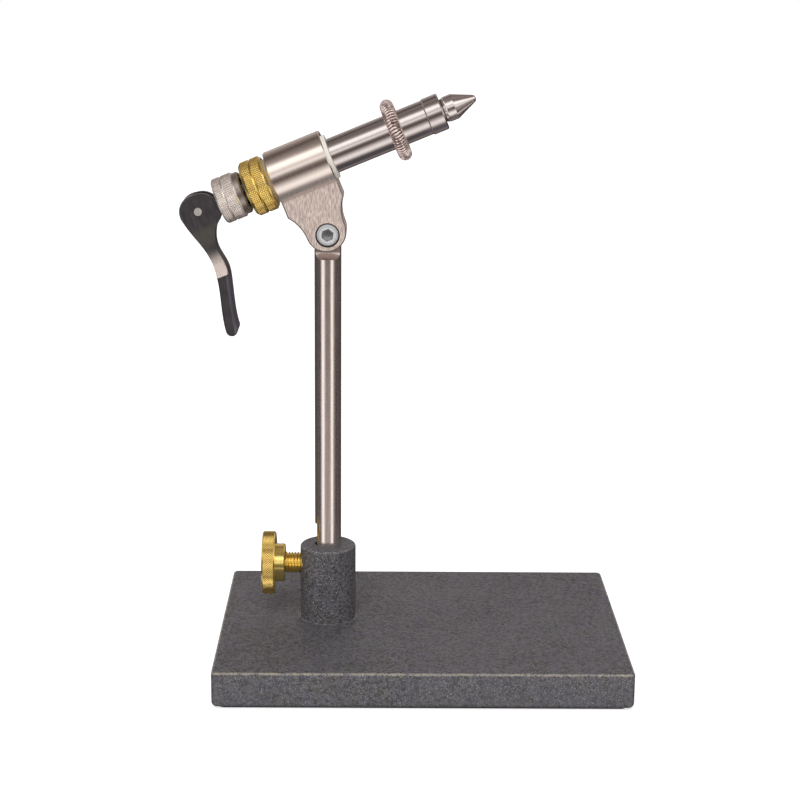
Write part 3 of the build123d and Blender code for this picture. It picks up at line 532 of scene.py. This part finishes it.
def lever_finish():
    """Black oxide with a fine grain, with painted highlights on the bevel, below the cam and on the boss's
    rim, and a pale steel colour painted as a highlight on the milled flare of both cheeks.
    """
    colour = colours().black
    flare_highlight_colour = (0.74, 0.64, 0.59)
    bevel_glint, cheek_glint, rim_glint = (0.18, 0.18, 0.22), (0.15, 0.142, 0.122), (0.42, 0.40, 0.40)
    boss_offset = -0.47 * MM
    arm_lean = 0.255
    # Each pair is where a zone starts and where it is full, in millimetres from the pin.
    flare_top, flare_end, flare_side = (-12.5, -19.5), (-23.95, -23.75), (4.05, 4.5)
    bevel_side, bevel_top = (6.3, 6.7), (-23, -26)
    cheek_top, cheek_end = (-5, -7), (-14, -11)
    rim_reach, rim_side, rim_end = (5.78, 5.95), (1.5, 0), (-2.5, -1)
    material, tree, shader = new_finish("black_oxide", colour, 0.7, 0.34)
    vector = turned_coordinates(tree, LEVER_AXES)
    parts = split(tree, vector)
    marks = noise(tree, turned_coordinates(tree, LEVER_AXES, (1, 1, 9)), 0.35 * MM, 3.0)
    cloud = noise(tree, vector, 4 * MM)

    def zone(value, stations, share=1):
        start, full = stations
        return spread(tree, value, start * MM, full * MM, 0, share)

    ground = blended(tree, cloud, shade(colour, 0.8), shade(colour, 1.25))
    ground = blended(tree, spread(tree, marks, 0.5, 0.7, 0, 0.2), ground, shade(colour, 2.0))
    lean = maths(tree, "MULTIPLY_ADD", parts["Z"], -arm_lean, parts["X"])
    # Painted highlight: a bluish glint on the arm's bevel.
    bevel = product(tree, zone(lean, bevel_side), zone(parts["Z"], bevel_top))
    ground = blended(tree, bevel, ground, bevel_glint)
    # Painted highlight: a paler olive cheek below the cam.
    cheek = product(tree, zone(parts["Z"], cheek_top, 0.6), zone(parts["Z"], cheek_end))
    ground = blended(tree, cheek, ground, cheek_glint)
    reach = distance(tree, vector, (boss_offset, 0, 0), (1, 0, 1))
    # Painted highlight: a glint on the rim of the cam's boss.
    rim = product(tree, zone(reach, rim_reach, 0.55), zone(parts["X"], rim_side), zone(parts["Z"], rim_end))
    ground = blended(tree, rim, ground, rim_glint)
    aside = maths(tree, "ABSOLUTE", parts["Y"])
    # Painted highlight: the milled flare of both cheeks turns to a pale steel colour, streaked by the marks.
    flare_highlight = product(tree, zone(parts["Z"], flare_top), zone(parts["Z"], flare_end), zone(aside, flare_side),
                     spread(tree, marks, 0.3, 0.5, 0.65, 1))
    tree.links.new(blended(tree, flare_highlight, ground, flare_highlight_colour), shader.inputs["Base Color"])
    tree.links.new(spread(tree, marks, *MOST, 0.28, 0.42), shader.inputs["Roughness"])
    bumped(tree, shader, marks, 0.3, 0.03 * MM)
    return material


def dress(material, *names):
    """Gives CAD nodes a finish."""
    for name in names:
        slots = frame["nodes"][name].material_slots
        for slot in slots:
            slot.material = material
        if not slots:
            frame["nodes"][name].data.materials.append(material)


# Modelling


def measured(name, placement):
    """Gives a CAD node's reach along a placement's Z, and its least and greatest radius round it."""
    back = placement.inverted()
    points = [back @ vertex.co for vertex in frame["nodes"][name].data.vertices]
    heights = [point.z for point in points]
    radii = [math.hypot(point.x, point.y) for point in points]
    return min(heights), max(heights), min(radii), max(radii)


def pick(piece, *others):
    """Selects a piece as the active one, and others with it."""
    bpy.ops.object.select_all(action="DESELECT")
    for each in (piece, *others):
        each.select_set(True)
    bpy.context.view_layer.objects.active = piece


def edit(piece):
    """Selects one object alone and opens it in edit mode, all selected."""
    pick(piece)
    bpy.ops.object.mode_set(mode="EDIT")
    bpy.ops.mesh.select_mode(type="VERT")
    bpy.ops.mesh.select_all(action="SELECT")


def close_up(piece):
    """Merges doubles, turns the faces outwards and leaves edit mode."""
    bpy.ops.mesh.select_all(action="SELECT")
    bpy.ops.mesh.remove_doubles(threshold=MERGE_DISTANCE)
    bpy.ops.mesh.normals_make_consistent(inside=False)
    bpy.ops.object.mode_set(mode="OBJECT")
    return piece


def apply_modifier(piece, modifier):
    pick(piece)
    bpy.ops.object.modifier_apply(modifier=modifier.name)


def drawn(name, profile):
    """Draws a line through points of radius and height, and stays in edit mode."""
    bpy.ops.object.select_all(action="DESELECT")
    bpy.ops.mesh.primitive_plane_add(size=MM)
    piece = bpy.context.active_object
    piece.name = piece.data.name = name
    edit(piece)
    bpy.ops.mesh.merge(type="CENTER")
    bpy.ops.transform.translate(value=(profile[0][0], 0, profile[0][1]))
    for (radius, height), (next_radius, next_height) in zip(profile, profile[1:]):
        bpy.ops.mesh.extrude_vertices_move(
            TRANSFORM_OT_translate={"value": (next_radius - radius, 0, next_height - height)})
    return piece


def turned(name, profile, steps):
    """Draws a profile of radius and height points and spins it round Z."""
    piece = drawn(name, profile)
    bpy.ops.mesh.select_all(action="SELECT")
    bpy.ops.mesh.spin(steps=steps, angle=FULL_TURN, center=(0, 0, 0), axis=(0, 0, 1))
    return close_up(piece)


def screwed(piece, axis, steps, turns, rise):
    """Sweeps a piece round an axis as a screw, with a rise in each turn."""
    sweep = piece.modifiers.new("Sweep", "SCREW")
    sweep.axis = axis
    sweep.steps = sweep.render_steps = steps
    sweep.iterations = turns
    sweep.screw_offset = rise
    apply_modifier(piece, sweep)


def wound(name, wire, coil_radius, length, turns, sides, steps):
    """Winds a round wire into a straight coil along X."""
    bpy.ops.object.select_all(action="DESELECT")
    bpy.ops.mesh.primitive_circle_add(vertices=sides, radius=wire / 2)
    piece = bpy.context.active_object
    piece.name = piece.data.name = name
    edit(piece)
    bpy.ops.transform.rotate(value=QUARTER_TURN, orient_axis="X", center_override=(0, 0, 0))
    bpy.ops.transform.translate(value=(0, 0, coil_radius))
    bpy.ops.object.mode_set(mode="OBJECT")
    screwed(piece, "X", steps, turns, length / turns)
    return piece


def select_where(piece, test):
    """Selects the vertices of the edited mesh that pass a test of their place."""
    mesh = bmesh.from_edit_mesh(piece.data)
    bpy.ops.mesh.select_all(action="DESELECT")
    for vertex in mesh.verts:
        vertex.select_set(test(vertex.co))
    mesh.select_flush_mode()
    bmesh.update_edit_mesh(piece.data)


def mark_valleys(piece, depth_at):
    """Keeps how deep each vertex of the edited mesh lies in a valley, from 0 to 1."""
    mesh = bmesh.from_edit_mesh(piece.data)
    valley = mesh.verts.layers.float.new(VALLEY)
    for vertex in mesh.verts:
        vertex[valley] = float(depth_at(vertex.co))


def rim_rows(low, high, pitch):
    """Gives the heights of the rows of a knurl, two to each diamond."""
    count = 2 * max(1, round((high - low) / pitch))
    return [low + (high - low) * row / count for row in range(count + 1)]


def rim_steps(radius, pitch):
    """Gives the number of columns of a knurl, two to each diamond."""
    return 2 * round(FULL_TURN * radius / pitch)


def knurl(piece, radius, rows, steps, depth):
    """Sinks every other point of a rim, so that it stands in diamonds."""
    pitch = rows[1] - rows[0]
    slack = pitch / 4

    def in_rows(place):
        return rows[0] - slack < place.z < rows[-1] + slack

    def sunk(place):
        if abs(math.hypot(place.x, place.y) - radius) > slack or not in_rows(place):
            return False
        column = round(math.atan2(place.y, place.x) / FULL_TURN * steps)
        return (column + round((place.z - rows[0]) / pitch)) % 2 == 1

    def on_rim(place):
        return radius - depth - slack < math.hypot(place.x, place.y) and in_rows(place)

    edit(piece)
    mark_valleys(piece, sunk)
    select_where(piece, sunk)
    share = 1 - depth / radius
    bpy.ops.transform.resize(value=(share, share, 1), center_override=(0, 0, 0))
    select_where(piece, on_rim)
    bpy.ops.mesh.quads_convert_to_tris(quad_method="SHORTEST_DIAGONAL")
    return close_up(piece)


def knurled(name, below, radius, rows, above, steps, depth):
    """Turns a piece from its profile below, on and above the rim, and knurls the rim."""
    profile = below + [(radius, row) for row in rows] + above
    return knurl(turned(name, profile, steps), radius, rows, steps, depth)


def settle(piece, placement, body, slot, finish, *nodes):
    """Puts a piece in its place, with its place in its mesh, gives it its finish, hangs it on its body and
    hides the CAD nodes it replaces.
    """
    pick(piece)
    piece.matrix_world = placement
    bpy.ops.object.transform_apply(location=True, rotation=True, scale=True)
    bpy.ops.object.shade_smooth_by_angle(angle=SMOOTH_ANGLE)
    piece.data.materials.clear()
    piece.data.materials.append(finish)
    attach(piece, body)
    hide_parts(*nodes)


# Pieces


class VISE_OT_base(bpy.types.Operator):
    """Coat the plate and socket, and finish the pad, the screw below and the pivot screw"""

    bl_idname = "vise.base"
    bl_label = "Base and screws"

    def execute(self, context):
        dress(coating_finish(), "base_plate", "stem_socket")
        dress(soft_finish("pad_rubber", colours().rubber, 0.75, 0.6 * MM, 0.05 * MM), "base_pad")
        zinc = metal_finish("zinc_screws", colours().zinc, 0.2, MODEL_AXES, EVEN, 0.8 * MM, 0.02 * MM)
        dress(zinc, "socket_screw")
        dress(pivot_screw_finish(), "pivot_screw")
        return {"FINISHED"}


class VISE_OT_stem(bpy.types.Operator):
    """Give the stem its drawn and ground finish"""

    bl_idname = "vise.stem"
    bl_label = "Stem"

    def execute(self, context):
        lengthwise = (1, 1, 60)
        drawn_steel = metal_finish("ground_stem", colours().stem, 0.2, MODEL_AXES, lengthwise, 0.35 * MM,
                                   0.012 * MM, 0.07, 0.92)
        dress(drawn_steel, "stem")
        return {"FINISHED"}


class VISE_OT_head(bpy.types.Operator):
    """Brush the barrel and ear, and finish the bushings"""

    bl_idname = "vise.head"
    bl_label = "Head"

    def execute(self, context):
        dress(head_finish(), "head_body")
        dress(plastic("bushing_plastic", colours().cream), "front_bushing")
        dress(plastic("stained_bushing", colours().tan), "rear_bushing")
        return {"FINISHED"}


class VISE_OT_spindle(bpy.types.Operator):
    """Polish the tube, nose ring, jaws and draw bar"""

    bl_idname = "vise.spindle"
    bl_label = "Spindle and jaws"

    def execute(self, context):
        tube = colours().tube
        round_about = (30, 30, 1)
        polished = metal_finish("polished_tube", tube, 0.1, HEAD_AXES, round_about, 0.25 * MM, 0.006 * MM,
                                0.06)
        # Behind the rear bushing the tube is darkened to near black: partly its dark thread, partly painted
        # shade in the gap between the parts.
        darken_beyond(polished, measured("rear_bushing", HEAD)[0], -1, shade(tube, 0.08))
        dress(polished, "spindle_tube", "nose_ring", "draw_bar")
        honed = metal_finish("honed_jaws", shade(tube, 1.16), 0.17, HEAD_AXES, round_about, 0.3 * MM,
                             0.01 * MM, 0.06)
        dress(honed, "near_jaw", "far_jaw")
        return {"FINISHED"}


class VISE_OT_lever(bpy.types.Operator):
    """Blacken the cam lever and finish its pin"""

    bl_idname = "vise.lever"
    bl_label = "Cam lever"

    def execute(self, context):
        dress(lever_finish(), "cam_lever")
        lengthwise = (1, 6, 1)
        pin = metal_finish("pin_steel", shade(colours().silver, 1.15), 0.3, PIN_AXES, lengthwise, 0.4 * MM,
                           0.01 * MM)
        dress(pin, "cam_pin")
        return {"FINISHED"}


class VISE_OT_nuts(bpy.types.Operator):
    """Model the pair of knurled brass nuts behind the barrel"""

    bl_idname = "vise.nuts"
    bl_label = "Brass nuts"

    def execute(self, context):
        size = sizes()
        # Share of the brass colour left in the knurl's valleys, as painted shade.
        valley_shade_share = (0.52, 0.39, 0.27)
        brass = knurled_finish("turned_brass", colours().brass, 0.17, HEAD_AXES, valley_shade_share, 0.95)
        for name, low_chamfer, high_chamfer in (
            ("tension_nut", size.groove_chamfer, size.nut_chamfer),
            ("lock_nut", size.nut_chamfer, size.groove_chamfer),
        ):
            low, high, bore, radius = measured(name, HEAD)
            rows = rim_rows(low + low_chamfer, high - high_chamfer, size.nut_knurl)
            below = [(bore, low), (radius - low_chamfer, low)]
            above = [(radius - high_chamfer, high), (bore, high), (bore, low)]
            steps = rim_steps(radius, size.nut_knurl)
            nut = knurled(name + "_knurled", below, radius, rows, above, steps, size.nut_knurl_depth)
            settle(nut, HEAD, name, "brass", brass, name)
        return {"FINISHED"}


class VISE_OT_rings(bpy.types.Operator):
    """Model the silver locking ring with its hub, and the adjuster"""

    bl_idname = "vise.rings"
    bl_label = "Silver rings"

    def execute(self, context):
        size = sizes()
        pitch, depth = size.ring_knurl, size.ring_knurl_depth
        # Share of the silver colour left in the knurl's valleys, as painted shade.
        valley_shade_share = (0.4, 0.38, 0.37)
        chamfer, rear_chamfer = 0.35 * MM, 0.6 * MM
        hub_length, hub_radius, hub_edge = 2.3 * MM, 7.55 * MM, 0.5 * MM
        hub_shade = 0.32
        wall = 1.2 * MM
        silver = knurled_finish("silver_rings", colours().silver, 0.26, HEAD_AXES, valley_shade_share, 0.8)
        low, high, bore, radius = measured("adjuster_lock_ring", HEAD)
        hub_start = high - hub_length
        darken_beyond(silver, hub_start, 1, shade(colours().silver, hub_shade))
        steps = rim_steps(radius, pitch)
        rows = rim_rows(low + chamfer, hub_start - chamfer, pitch)
        below = [(bore, low), (radius - chamfer, low)]
        above = [
            (radius - chamfer, hub_start),
            (hub_radius, hub_start),
            (hub_radius, high - hub_edge),
            (hub_radius - hub_edge, high),
            (bore, high),
            (bore, low),
        ]
        ring = knurled("adjuster_lock_ring_knurled", below, radius, rows, above, steps, depth)
        settle(ring, HEAD, "lock_ring", "silver_aluminium", silver, "adjuster_lock_ring")
        low, high, hole, radius = measured("adjuster_knob", HEAD)
        rows = rim_rows(low + rear_chamfer, high - chamfer, pitch)
        below = [(hole, low), (radius - rear_chamfer, low)]
        above = [(radius - chamfer, high), (bore, high), (bore, low + wall), (hole, low + wall), (hole, low)]
        knob = knurled("adjuster_knob_knurled", below, radius, rows, above, steps, depth)
        settle(knob, HEAD, "adjuster", "silver_aluminium", silver, "adjuster_knob")
        return {"FINISHED"}


class VISE_OT_thumbscrew(bpy.types.Operator):
    """Model the brass thumbscrew: knurled head, hub and cut thread"""

    bl_idname = "vise.thumbscrew"
    bl_label = "Thumbscrew"

    def execute(self, context):
        head_length, hub_length = 4.7 * MM, 3.5 * MM
        # Share of the brass colour left in the knurl's valleys and thread roots, as painted shade.
        valley_shade_share = (0.52, 0.39, 0.24)
        low, high, _, radius = measured("thumbscrew", THUMB)
        head_start = high - head_length
        hub_start = head_start - hub_length
        screw = self.head(radius, hub_start, head_start, high)
        thread = self.thread(low, hub_start)
        pick(screw, thread)
        bpy.ops.object.join()
        brass = knurled_finish("thumbscrew_brass", colours().brass, 0.17, THUMB_AXES, valley_shade_share, 0.95)
        settle(screw, THUMB, "thumbscrew", "brass", brass, "thumbscrew")
        dress(plastic("nylon_tip", shade(colours().cream, 1.05)), "thumbscrew_tip")
        return {"FINISHED"}

    def head(self, radius, hub_start, head_start, end):
        """Turns the hub and the dished head, and knurls the head's rim."""
        size = sizes()
        hub_radius, hub_edge = 6.95 * MM, 0.35 * MM
        chamfer = 0.5 * MM
        lip, dish_edge, dish_depth = 2.3 * MM, 2.9 * MM, 0.4 * MM
        rows = rim_rows(head_start + chamfer, end - chamfer, size.head_knurl)
        below = [
            (0, hub_start),
            (hub_radius - hub_edge, hub_start),
            (hub_radius, hub_start + hub_edge),
            (hub_radius, head_start),
            (radius - chamfer, head_start),
        ]
        above = [
            (radius - chamfer, end),
            (radius - lip, end),
            (radius - dish_edge, end - dish_depth),
            (0, end - dish_depth),
        ]
        steps = rim_steps(radius, size.head_knurl)
        return knurled("thumbscrew_turned", below, radius, rows, above, steps, size.head_knurl_depth)

    def thread(self, low, high):
        """Cuts a thread with flat crests and roots, and closes it at both ends."""
        crest = 3.95 * MM
        steps = 40
        root_shade = 0.58
        pitch, depth = sizes().thread_pitch, sizes().thread_depth
        root = crest - depth
        flat = pitch / 8
        start = low - pitch
        middle = start + pitch / 2
        thread = drawn("thumbscrew_thread", [
            (crest, start),
            (crest, start + flat),
            (root, middle),
            (root, middle + flat),
            (crest, start + pitch),
        ])
        bpy.ops.object.mode_set(mode="OBJECT")
        screwed(thread, "Z", steps, math.ceil((high - low) / pitch) + 2, pitch)
        edit(thread)
        bpy.ops.mesh.remove_doubles(threshold=MERGE_DISTANCE)
        # The thread's roots are marked as valleys, so the brass finish paints shade in them.
        mark_valleys(thread, lambda place: root_shade * (math.hypot(place.x, place.y) < crest - depth / 2))
        for end, way in ((low, -1), (high, 1)):
            bpy.ops.mesh.select_all(action="SELECT")
            bpy.ops.mesh.bisect(plane_co=(0, 0, end), plane_no=(0, 0, way), use_fill=True, clear_outer=True)
        return close_up(thread)


class VISE_OT_material_spring(bpy.types.Operator):
    """Wind the material spring and bend it into a ring round the tube"""

    bl_idname = "vise.material_spring"
    bl_label = "Material spring"

    def execute(self, context):
        size = sizes()
        wire_sides, coil_steps = 8, 18
        seam = 5e-6
        low, high, inner, outer = measured("material_spring", HEAD)
        coil_radius = (outer - inner - size.clip_wire) / 2
        ring_radius = (outer + inner) / 2
        length = FULL_TURN * ring_radius
        spring = wound("material_spring_wound", size.clip_wire, coil_radius, length, size.clip_turns,
                       wire_sides, coil_steps)
        bending = spring.modifiers.new("Bending", "SIMPLE_DEFORM")
        bending.deform_method = "BEND"
        bending.deform_axis = "Z"
        bending.angle = FULL_TURN * (length + size.clip_wire) / length
        apply_modifier(spring, bending)
        edit(spring)
        bpy.ops.transform.translate(value=(0, -ring_radius, (low + high) / 2))
        bpy.ops.mesh.remove_doubles(threshold=seam)
        close_up(spring)
        wire = metal_finish("clip_wire", colours().wire, 0.2, HEAD_AXES, EVEN, 0.8 * MM, 0.01 * MM)
        settle(spring, HEAD, "material_clip", "spring_steel", wire, "material_spring")
        return {"FINISHED"}


class VISE_OT_inner_springs(bpy.types.Operator):
    """Wind the return spring in the tube and the small spring between the jaws"""

    bl_idname = "vise.inner_springs"
    bl_label = "Inner springs"

    def execute(self, context):
        wire_sides, coil_steps = 10, 24
        jaw_place = axis_place(sum(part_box("jaw_spring"), Vector()) / 2, (0, 1, 0), rotary["axis"])
        wire = metal_finish("spring_wire", shade(colours().wire, 1.05), 0.3, MODEL_AXES, EVEN, 0.8 * MM,
                            0.01 * MM)
        for name, placement, body, thickness, turns in (
            ("return_spring", HEAD, "spindle", 1.0 * MM, 8),
            ("jaw_spring", jaw_place, "draw_bar", 0.35 * MM, 4),
        ):
            low, high, _, outer = measured(name, placement)
            coil_radius = outer - thickness / 2
            spring = wound(name + "_wound", thickness, coil_radius, high - low - thickness, turns, wire_sides,
                           coil_steps)
            edit(spring)
            bpy.ops.mesh.fill_holes(sides=0)
            bpy.ops.mesh.select_all(action="SELECT")
            bpy.ops.transform.rotate(value=QUARTER_TURN, orient_axis="Y", center_override=(0, 0, 0))
            close_up(spring)
            heights = [vertex.co.z for vertex in spring.data.vertices]
            lift = Matrix.Translation((0, 0, (low + high) / 2 - (min(heights) + max(heights)) / 2))
            settle(spring, placement @ lift, body, "spring_steel", wire, name)
        return {"FINISHED"}


class VISE_OT_stage(bpy.types.Operator):
    """Set the floor, the light tent that the metal mirrors, the lamps, the world and the camera"""

    bl_idname = "vise.stage"
    bl_label = "Stage"

    def execute(self, context):
        self.floor()
        self.tent()
        self.lamps()
        self.world()
        self.camera()
        context.scene.view_settings.view_transform = "Standard"
        return {"FINISHED"}

    def background_rays(self, tree):
        """Gives 1 for rays from the camera and for mirrored or refracted ones, and 0 for others."""
        path = node(tree, "ShaderNodeLightPath").outputs
        seen = greater(tree, path["Is Camera Ray"], path["Is Glossy Ray"])
        return greater(tree, seen, path["Is Transmission Ray"])

    def floor(self):
        """Lays a pale floor that glows more with distance, so that its far end is as white as the world."""
        width = 12
        near, far = 1, 2
        near_glow, far_glow = 0.68, 0.82
        bpy.ops.object.select_all(action="DESELECT")
        bpy.ops.mesh.primitive_plane_add(size=width, location=(0, 0, 0))
        floor = bpy.context.active_object
        floor.name = "floor"
        floor.visible_glossy = False
        material, tree, shader = new_finish("pale_floor", (0.80, 0.80, 0.80), 0.0, 0.9)
        shader.inputs["Specular IOR Level"].default_value = 0.0
        shader.inputs["Emission Color"].default_value = WHITE
        reach = vector_maths(tree, "LENGTH", object_place(tree))
        glow = product(tree, self.background_rays(tree), spread(tree, reach, near, far, near_glow, far_glow))
        tree.links.new(glow, shader.inputs["Emission Strength"])
        material.cycles.emission_sampling = "NONE"
        floor.data.materials.append(material)

    def tent(self):
        """Hangs a sphere of graded light round the vise, which only mirrored rays see."""
        bpy.ops.object.select_all(action="DESELECT")
        bpy.ops.mesh.primitive_uv_sphere_add(segments=48, ring_count=24, radius=4)
        tent = bpy.context.active_object
        tent.name = "light_tent"
        for ray in ("camera", "diffuse", "transmission", "volume_scatter", "shadow"):
            setattr(tent, "visible_" + ray, False)
        material = bpy.data.materials.new("tent_wall")
        material.use_nodes = True
        tree = material.node_tree
        tree.nodes.clear()
        parts = split(tree, vector_maths(tree, "NORMALIZE", object_place(tree)))
        rise = maths(tree, "ARCSINE", parts["Z"])
        aside = maths(tree, "ARCTAN2", parts["X"], maths(tree, "ABSOLUTE", parts["Y"]))
        level = spread(tree, rise, -QUARTER_TURN, QUARTER_TURN, 0, 1)
        across = spread(tree, aside, -QUARTER_TURN, QUARTER_TURN, 0, 1)
        bright = 1.6
        full_tint = (1.0, 0.97, 0.95)
        dim_tint = (1.0, 0.80, 0.74)
        low_tint, low_angle = (0.92, 0.90, 1.1), -60
        blend_depth = 0.1
        band_low, band_high = (-30, -22), (10, -4)
        flank_angles = (18, 30)

        def ramp(value, stops):
            """Grades light by an angle, from stops of degrees and strength."""
            made = node(tree, "ShaderNodeValToRGB", {"Fac": value})
            elements = made.color_ramp.elements
            while len(elements) < len(stops):
                elements.new(0.5)
            for element, (angle, light) in zip(elements, stops):
                element.position = (angle + 90) / 180
                share = min(1.0, light)
                shadow = low_tint if angle < low_angle else dim_tint
                element.color = opaque(
                    light / bright * (dark + (full - dark) * share) for dark, full in zip(shadow, full_tint))
            return made.outputs["Color"]

        def within(value, degrees):
            start, full = degrees
            return spread(tree, value, math.radians(start), math.radians(full), 0, 1)

        front = ramp(level, (
            (-90, 0.12), (-66.5, 0.12), (-58.4, 0.36), (-47.5, 1.07), (-36.3, 1.22), (-25, 0.8), (-14, 0.34),
            (-4, 0.1), (7.5, 0.27), (18, 1.15), (28, 0.78), (38.5, 1.5), (47.5, 1.6), (57, 0.42), (65.5, 0.2),
            (90, 0.3)))
        back = ramp(level, (
            (-90, 0.12), (-65, 0.14), (-50, 0.29), (-36, 0.12), (-10, 0.07), (2, 0.1), (12, 0.5), (25, 0.6),
            (35, 0.4), (43, 0.33), (59.7, 0.1), (67, 0.3), (90, 0.3)))
        sides = ramp(across, (
            (-90, 0.06), (-72, 0.06), (-62, 0.2), (-51, 1.6), (-36, 1.75), (-27, 0.8), (0, 0.52), (22, 0.7),
            (28, 1.75), (40, 1.75), (52, 0.4), (70, 0.06), (90, 0.06)))
        behind = spread(tree, parts["Y"], -blend_depth, blend_depth, 0, 1)
        ahead = spread(tree, parts["Y"], -blend_depth, blend_depth, 1, 0)
        flanks = product(tree, within(maths(tree, "ABSOLUTE", aside), flank_angles), within(rise, band_low),
                         within(rise, band_high), ahead)
        colour = blended(tree, flanks, blended(tree, behind, front, back), sides)
        wall = node(tree, "ShaderNodeEmission", {"Color": colour, "Strength": bright})
        output = node(tree, "ShaderNodeOutputMaterial")
        tree.links.new(wall.outputs[0], output.inputs["Surface"])
        material.cycles.emission_sampling = "NONE"
        tent.data.materials.append(material)

    def lamps(self):
        """Hangs four soft lamps, which light only dull surfaces."""
        for name, place, aim, size, power in (
            ("key_lamp", (-0.2, -1.5, 1.7), (0, 0, 0.08), 1.2, 27.5),
            ("left_lamp", (-1.5, -1.2, 0.8), (0, 0, 0.1), 1.0, 0.7),
            ("right_lamp", (1.4, -1.2, 0.8), (0, 0, 0.1), 1.0, 0.8),
            ("back_lamp", (0.3, 1.6, 1.5), (0, 0, 0.1), 1.2, 8.0),
        ):
            lamp = bpy.data.lights.new(name, "AREA")
            lamp.shape = "SQUARE"
            lamp.size = size
            lamp.energy = power
            holder = bpy.data.objects.new(name, lamp)
            bpy.context.scene.collection.objects.link(holder)
            holder.location = place
            holder.rotation_euler = (Vector(aim) - Vector(place)).to_track_quat("-Z", "Y").to_euler()
            holder.visible_camera = False
            holder.visible_glossy = False

    def world(self):
        """Makes the world white where it is seen, and dim where it lights dull surfaces."""
        fill, seen = 0.3, 1
        world = bpy.data.worlds.new("studio")
        bpy.context.scene.world = world
        world.use_nodes = True
        tree = world.node_tree
        background = tree.nodes["Background"]
        background.inputs["Color"].default_value = WHITE
        strength = spread(tree, self.background_rays(tree), 0, 1, fill, seen)
        tree.links.new(strength, background.inputs["Strength"])

    def camera(self):
        """Sets the camera at the photograph's viewing angle."""
        place = Vector((-0.0162505, -0.6319656, 0.2558699))
        pitch, yaw, roll = 0.247002, 0.012723, 0.009300
        sensor, lens = 36, 82.145
        view = Vector((math.sin(yaw) * math.cos(pitch), math.cos(yaw) * math.cos(pitch), -math.sin(pitch)))
        level = Vector((math.cos(yaw), -math.sin(yaw), 0))
        above = level.cross(view)
        right = math.cos(roll) * level + math.sin(roll) * above
        up = math.cos(roll) * above - math.sin(roll) * level
        camera = bpy.data.cameras.new("camera")
        camera.sensor_width = sensor
        camera.lens = lens
        holder = bpy.data.objects.new("camera", camera)
        bpy.context.scene.collection.objects.link(holder)
        placement = Matrix((right, up, -view)).transposed().to_4x4()
        placement.translation = place
        holder.matrix_world = placement
        bpy.context.scene.camera = holder


STEPS = (
    VISE_OT_base,
    VISE_OT_stem,
    VISE_OT_head,
    VISE_OT_spindle,
    VISE_OT_lever,
    VISE_OT_nuts,
    VISE_OT_rings,
    VISE_OT_thumbscrew,
    VISE_OT_material_spring,
    VISE_OT_inner_springs,
    VISE_OT_stage,
)


class VISE_PT_steps(bpy.types.Panel):
    """Lists the vise's steps"""

    bl_label = "Fly tying vise"
    bl_idname = "VISE_PT_steps"
    bl_space_type = "VIEW_3D"
    bl_region_type = "UI"
    bl_category = "Vise"

    def draw(self, context):
        for step in STEPS:
            self.layout.operator(step.bl_idname)
        for group in (context.scene.vise_sizes, context.scene.vise_colours):
            for name in group.__annotations__:
                self.layout.prop(group, name)


CLASSES = (ViseSizes, ViseColours, *STEPS, VISE_PT_steps)


def register():
    for cls in CLASSES:
        bpy.utils.register_class(cls)
    bpy.types.Scene.vise_sizes = PointerProperty(type=ViseSizes)
    bpy.types.Scene.vise_colours = PointerProperty(type=ViseColours)


def unregister():
    del bpy.types.Scene.vise_colours
    del bpy.types.Scene.vise_sizes
    for cls in reversed(CLASSES):
        bpy.utils.unregister_class(cls)


def main():
    register()
    bpy.ops.vise.base()
    bpy.ops.vise.stem()
    bpy.ops.vise.head()
    bpy.ops.vise.spindle()
    bpy.ops.vise.lever()
    bpy.ops.vise.nuts()
    bpy.ops.vise.rings()
    bpy.ops.vise.thumbscrew()
    bpy.ops.vise.material_spring()
    bpy.ops.vise.inner_springs()
    bpy.ops.vise.stage()


if __name__ == "__main__":
    main()
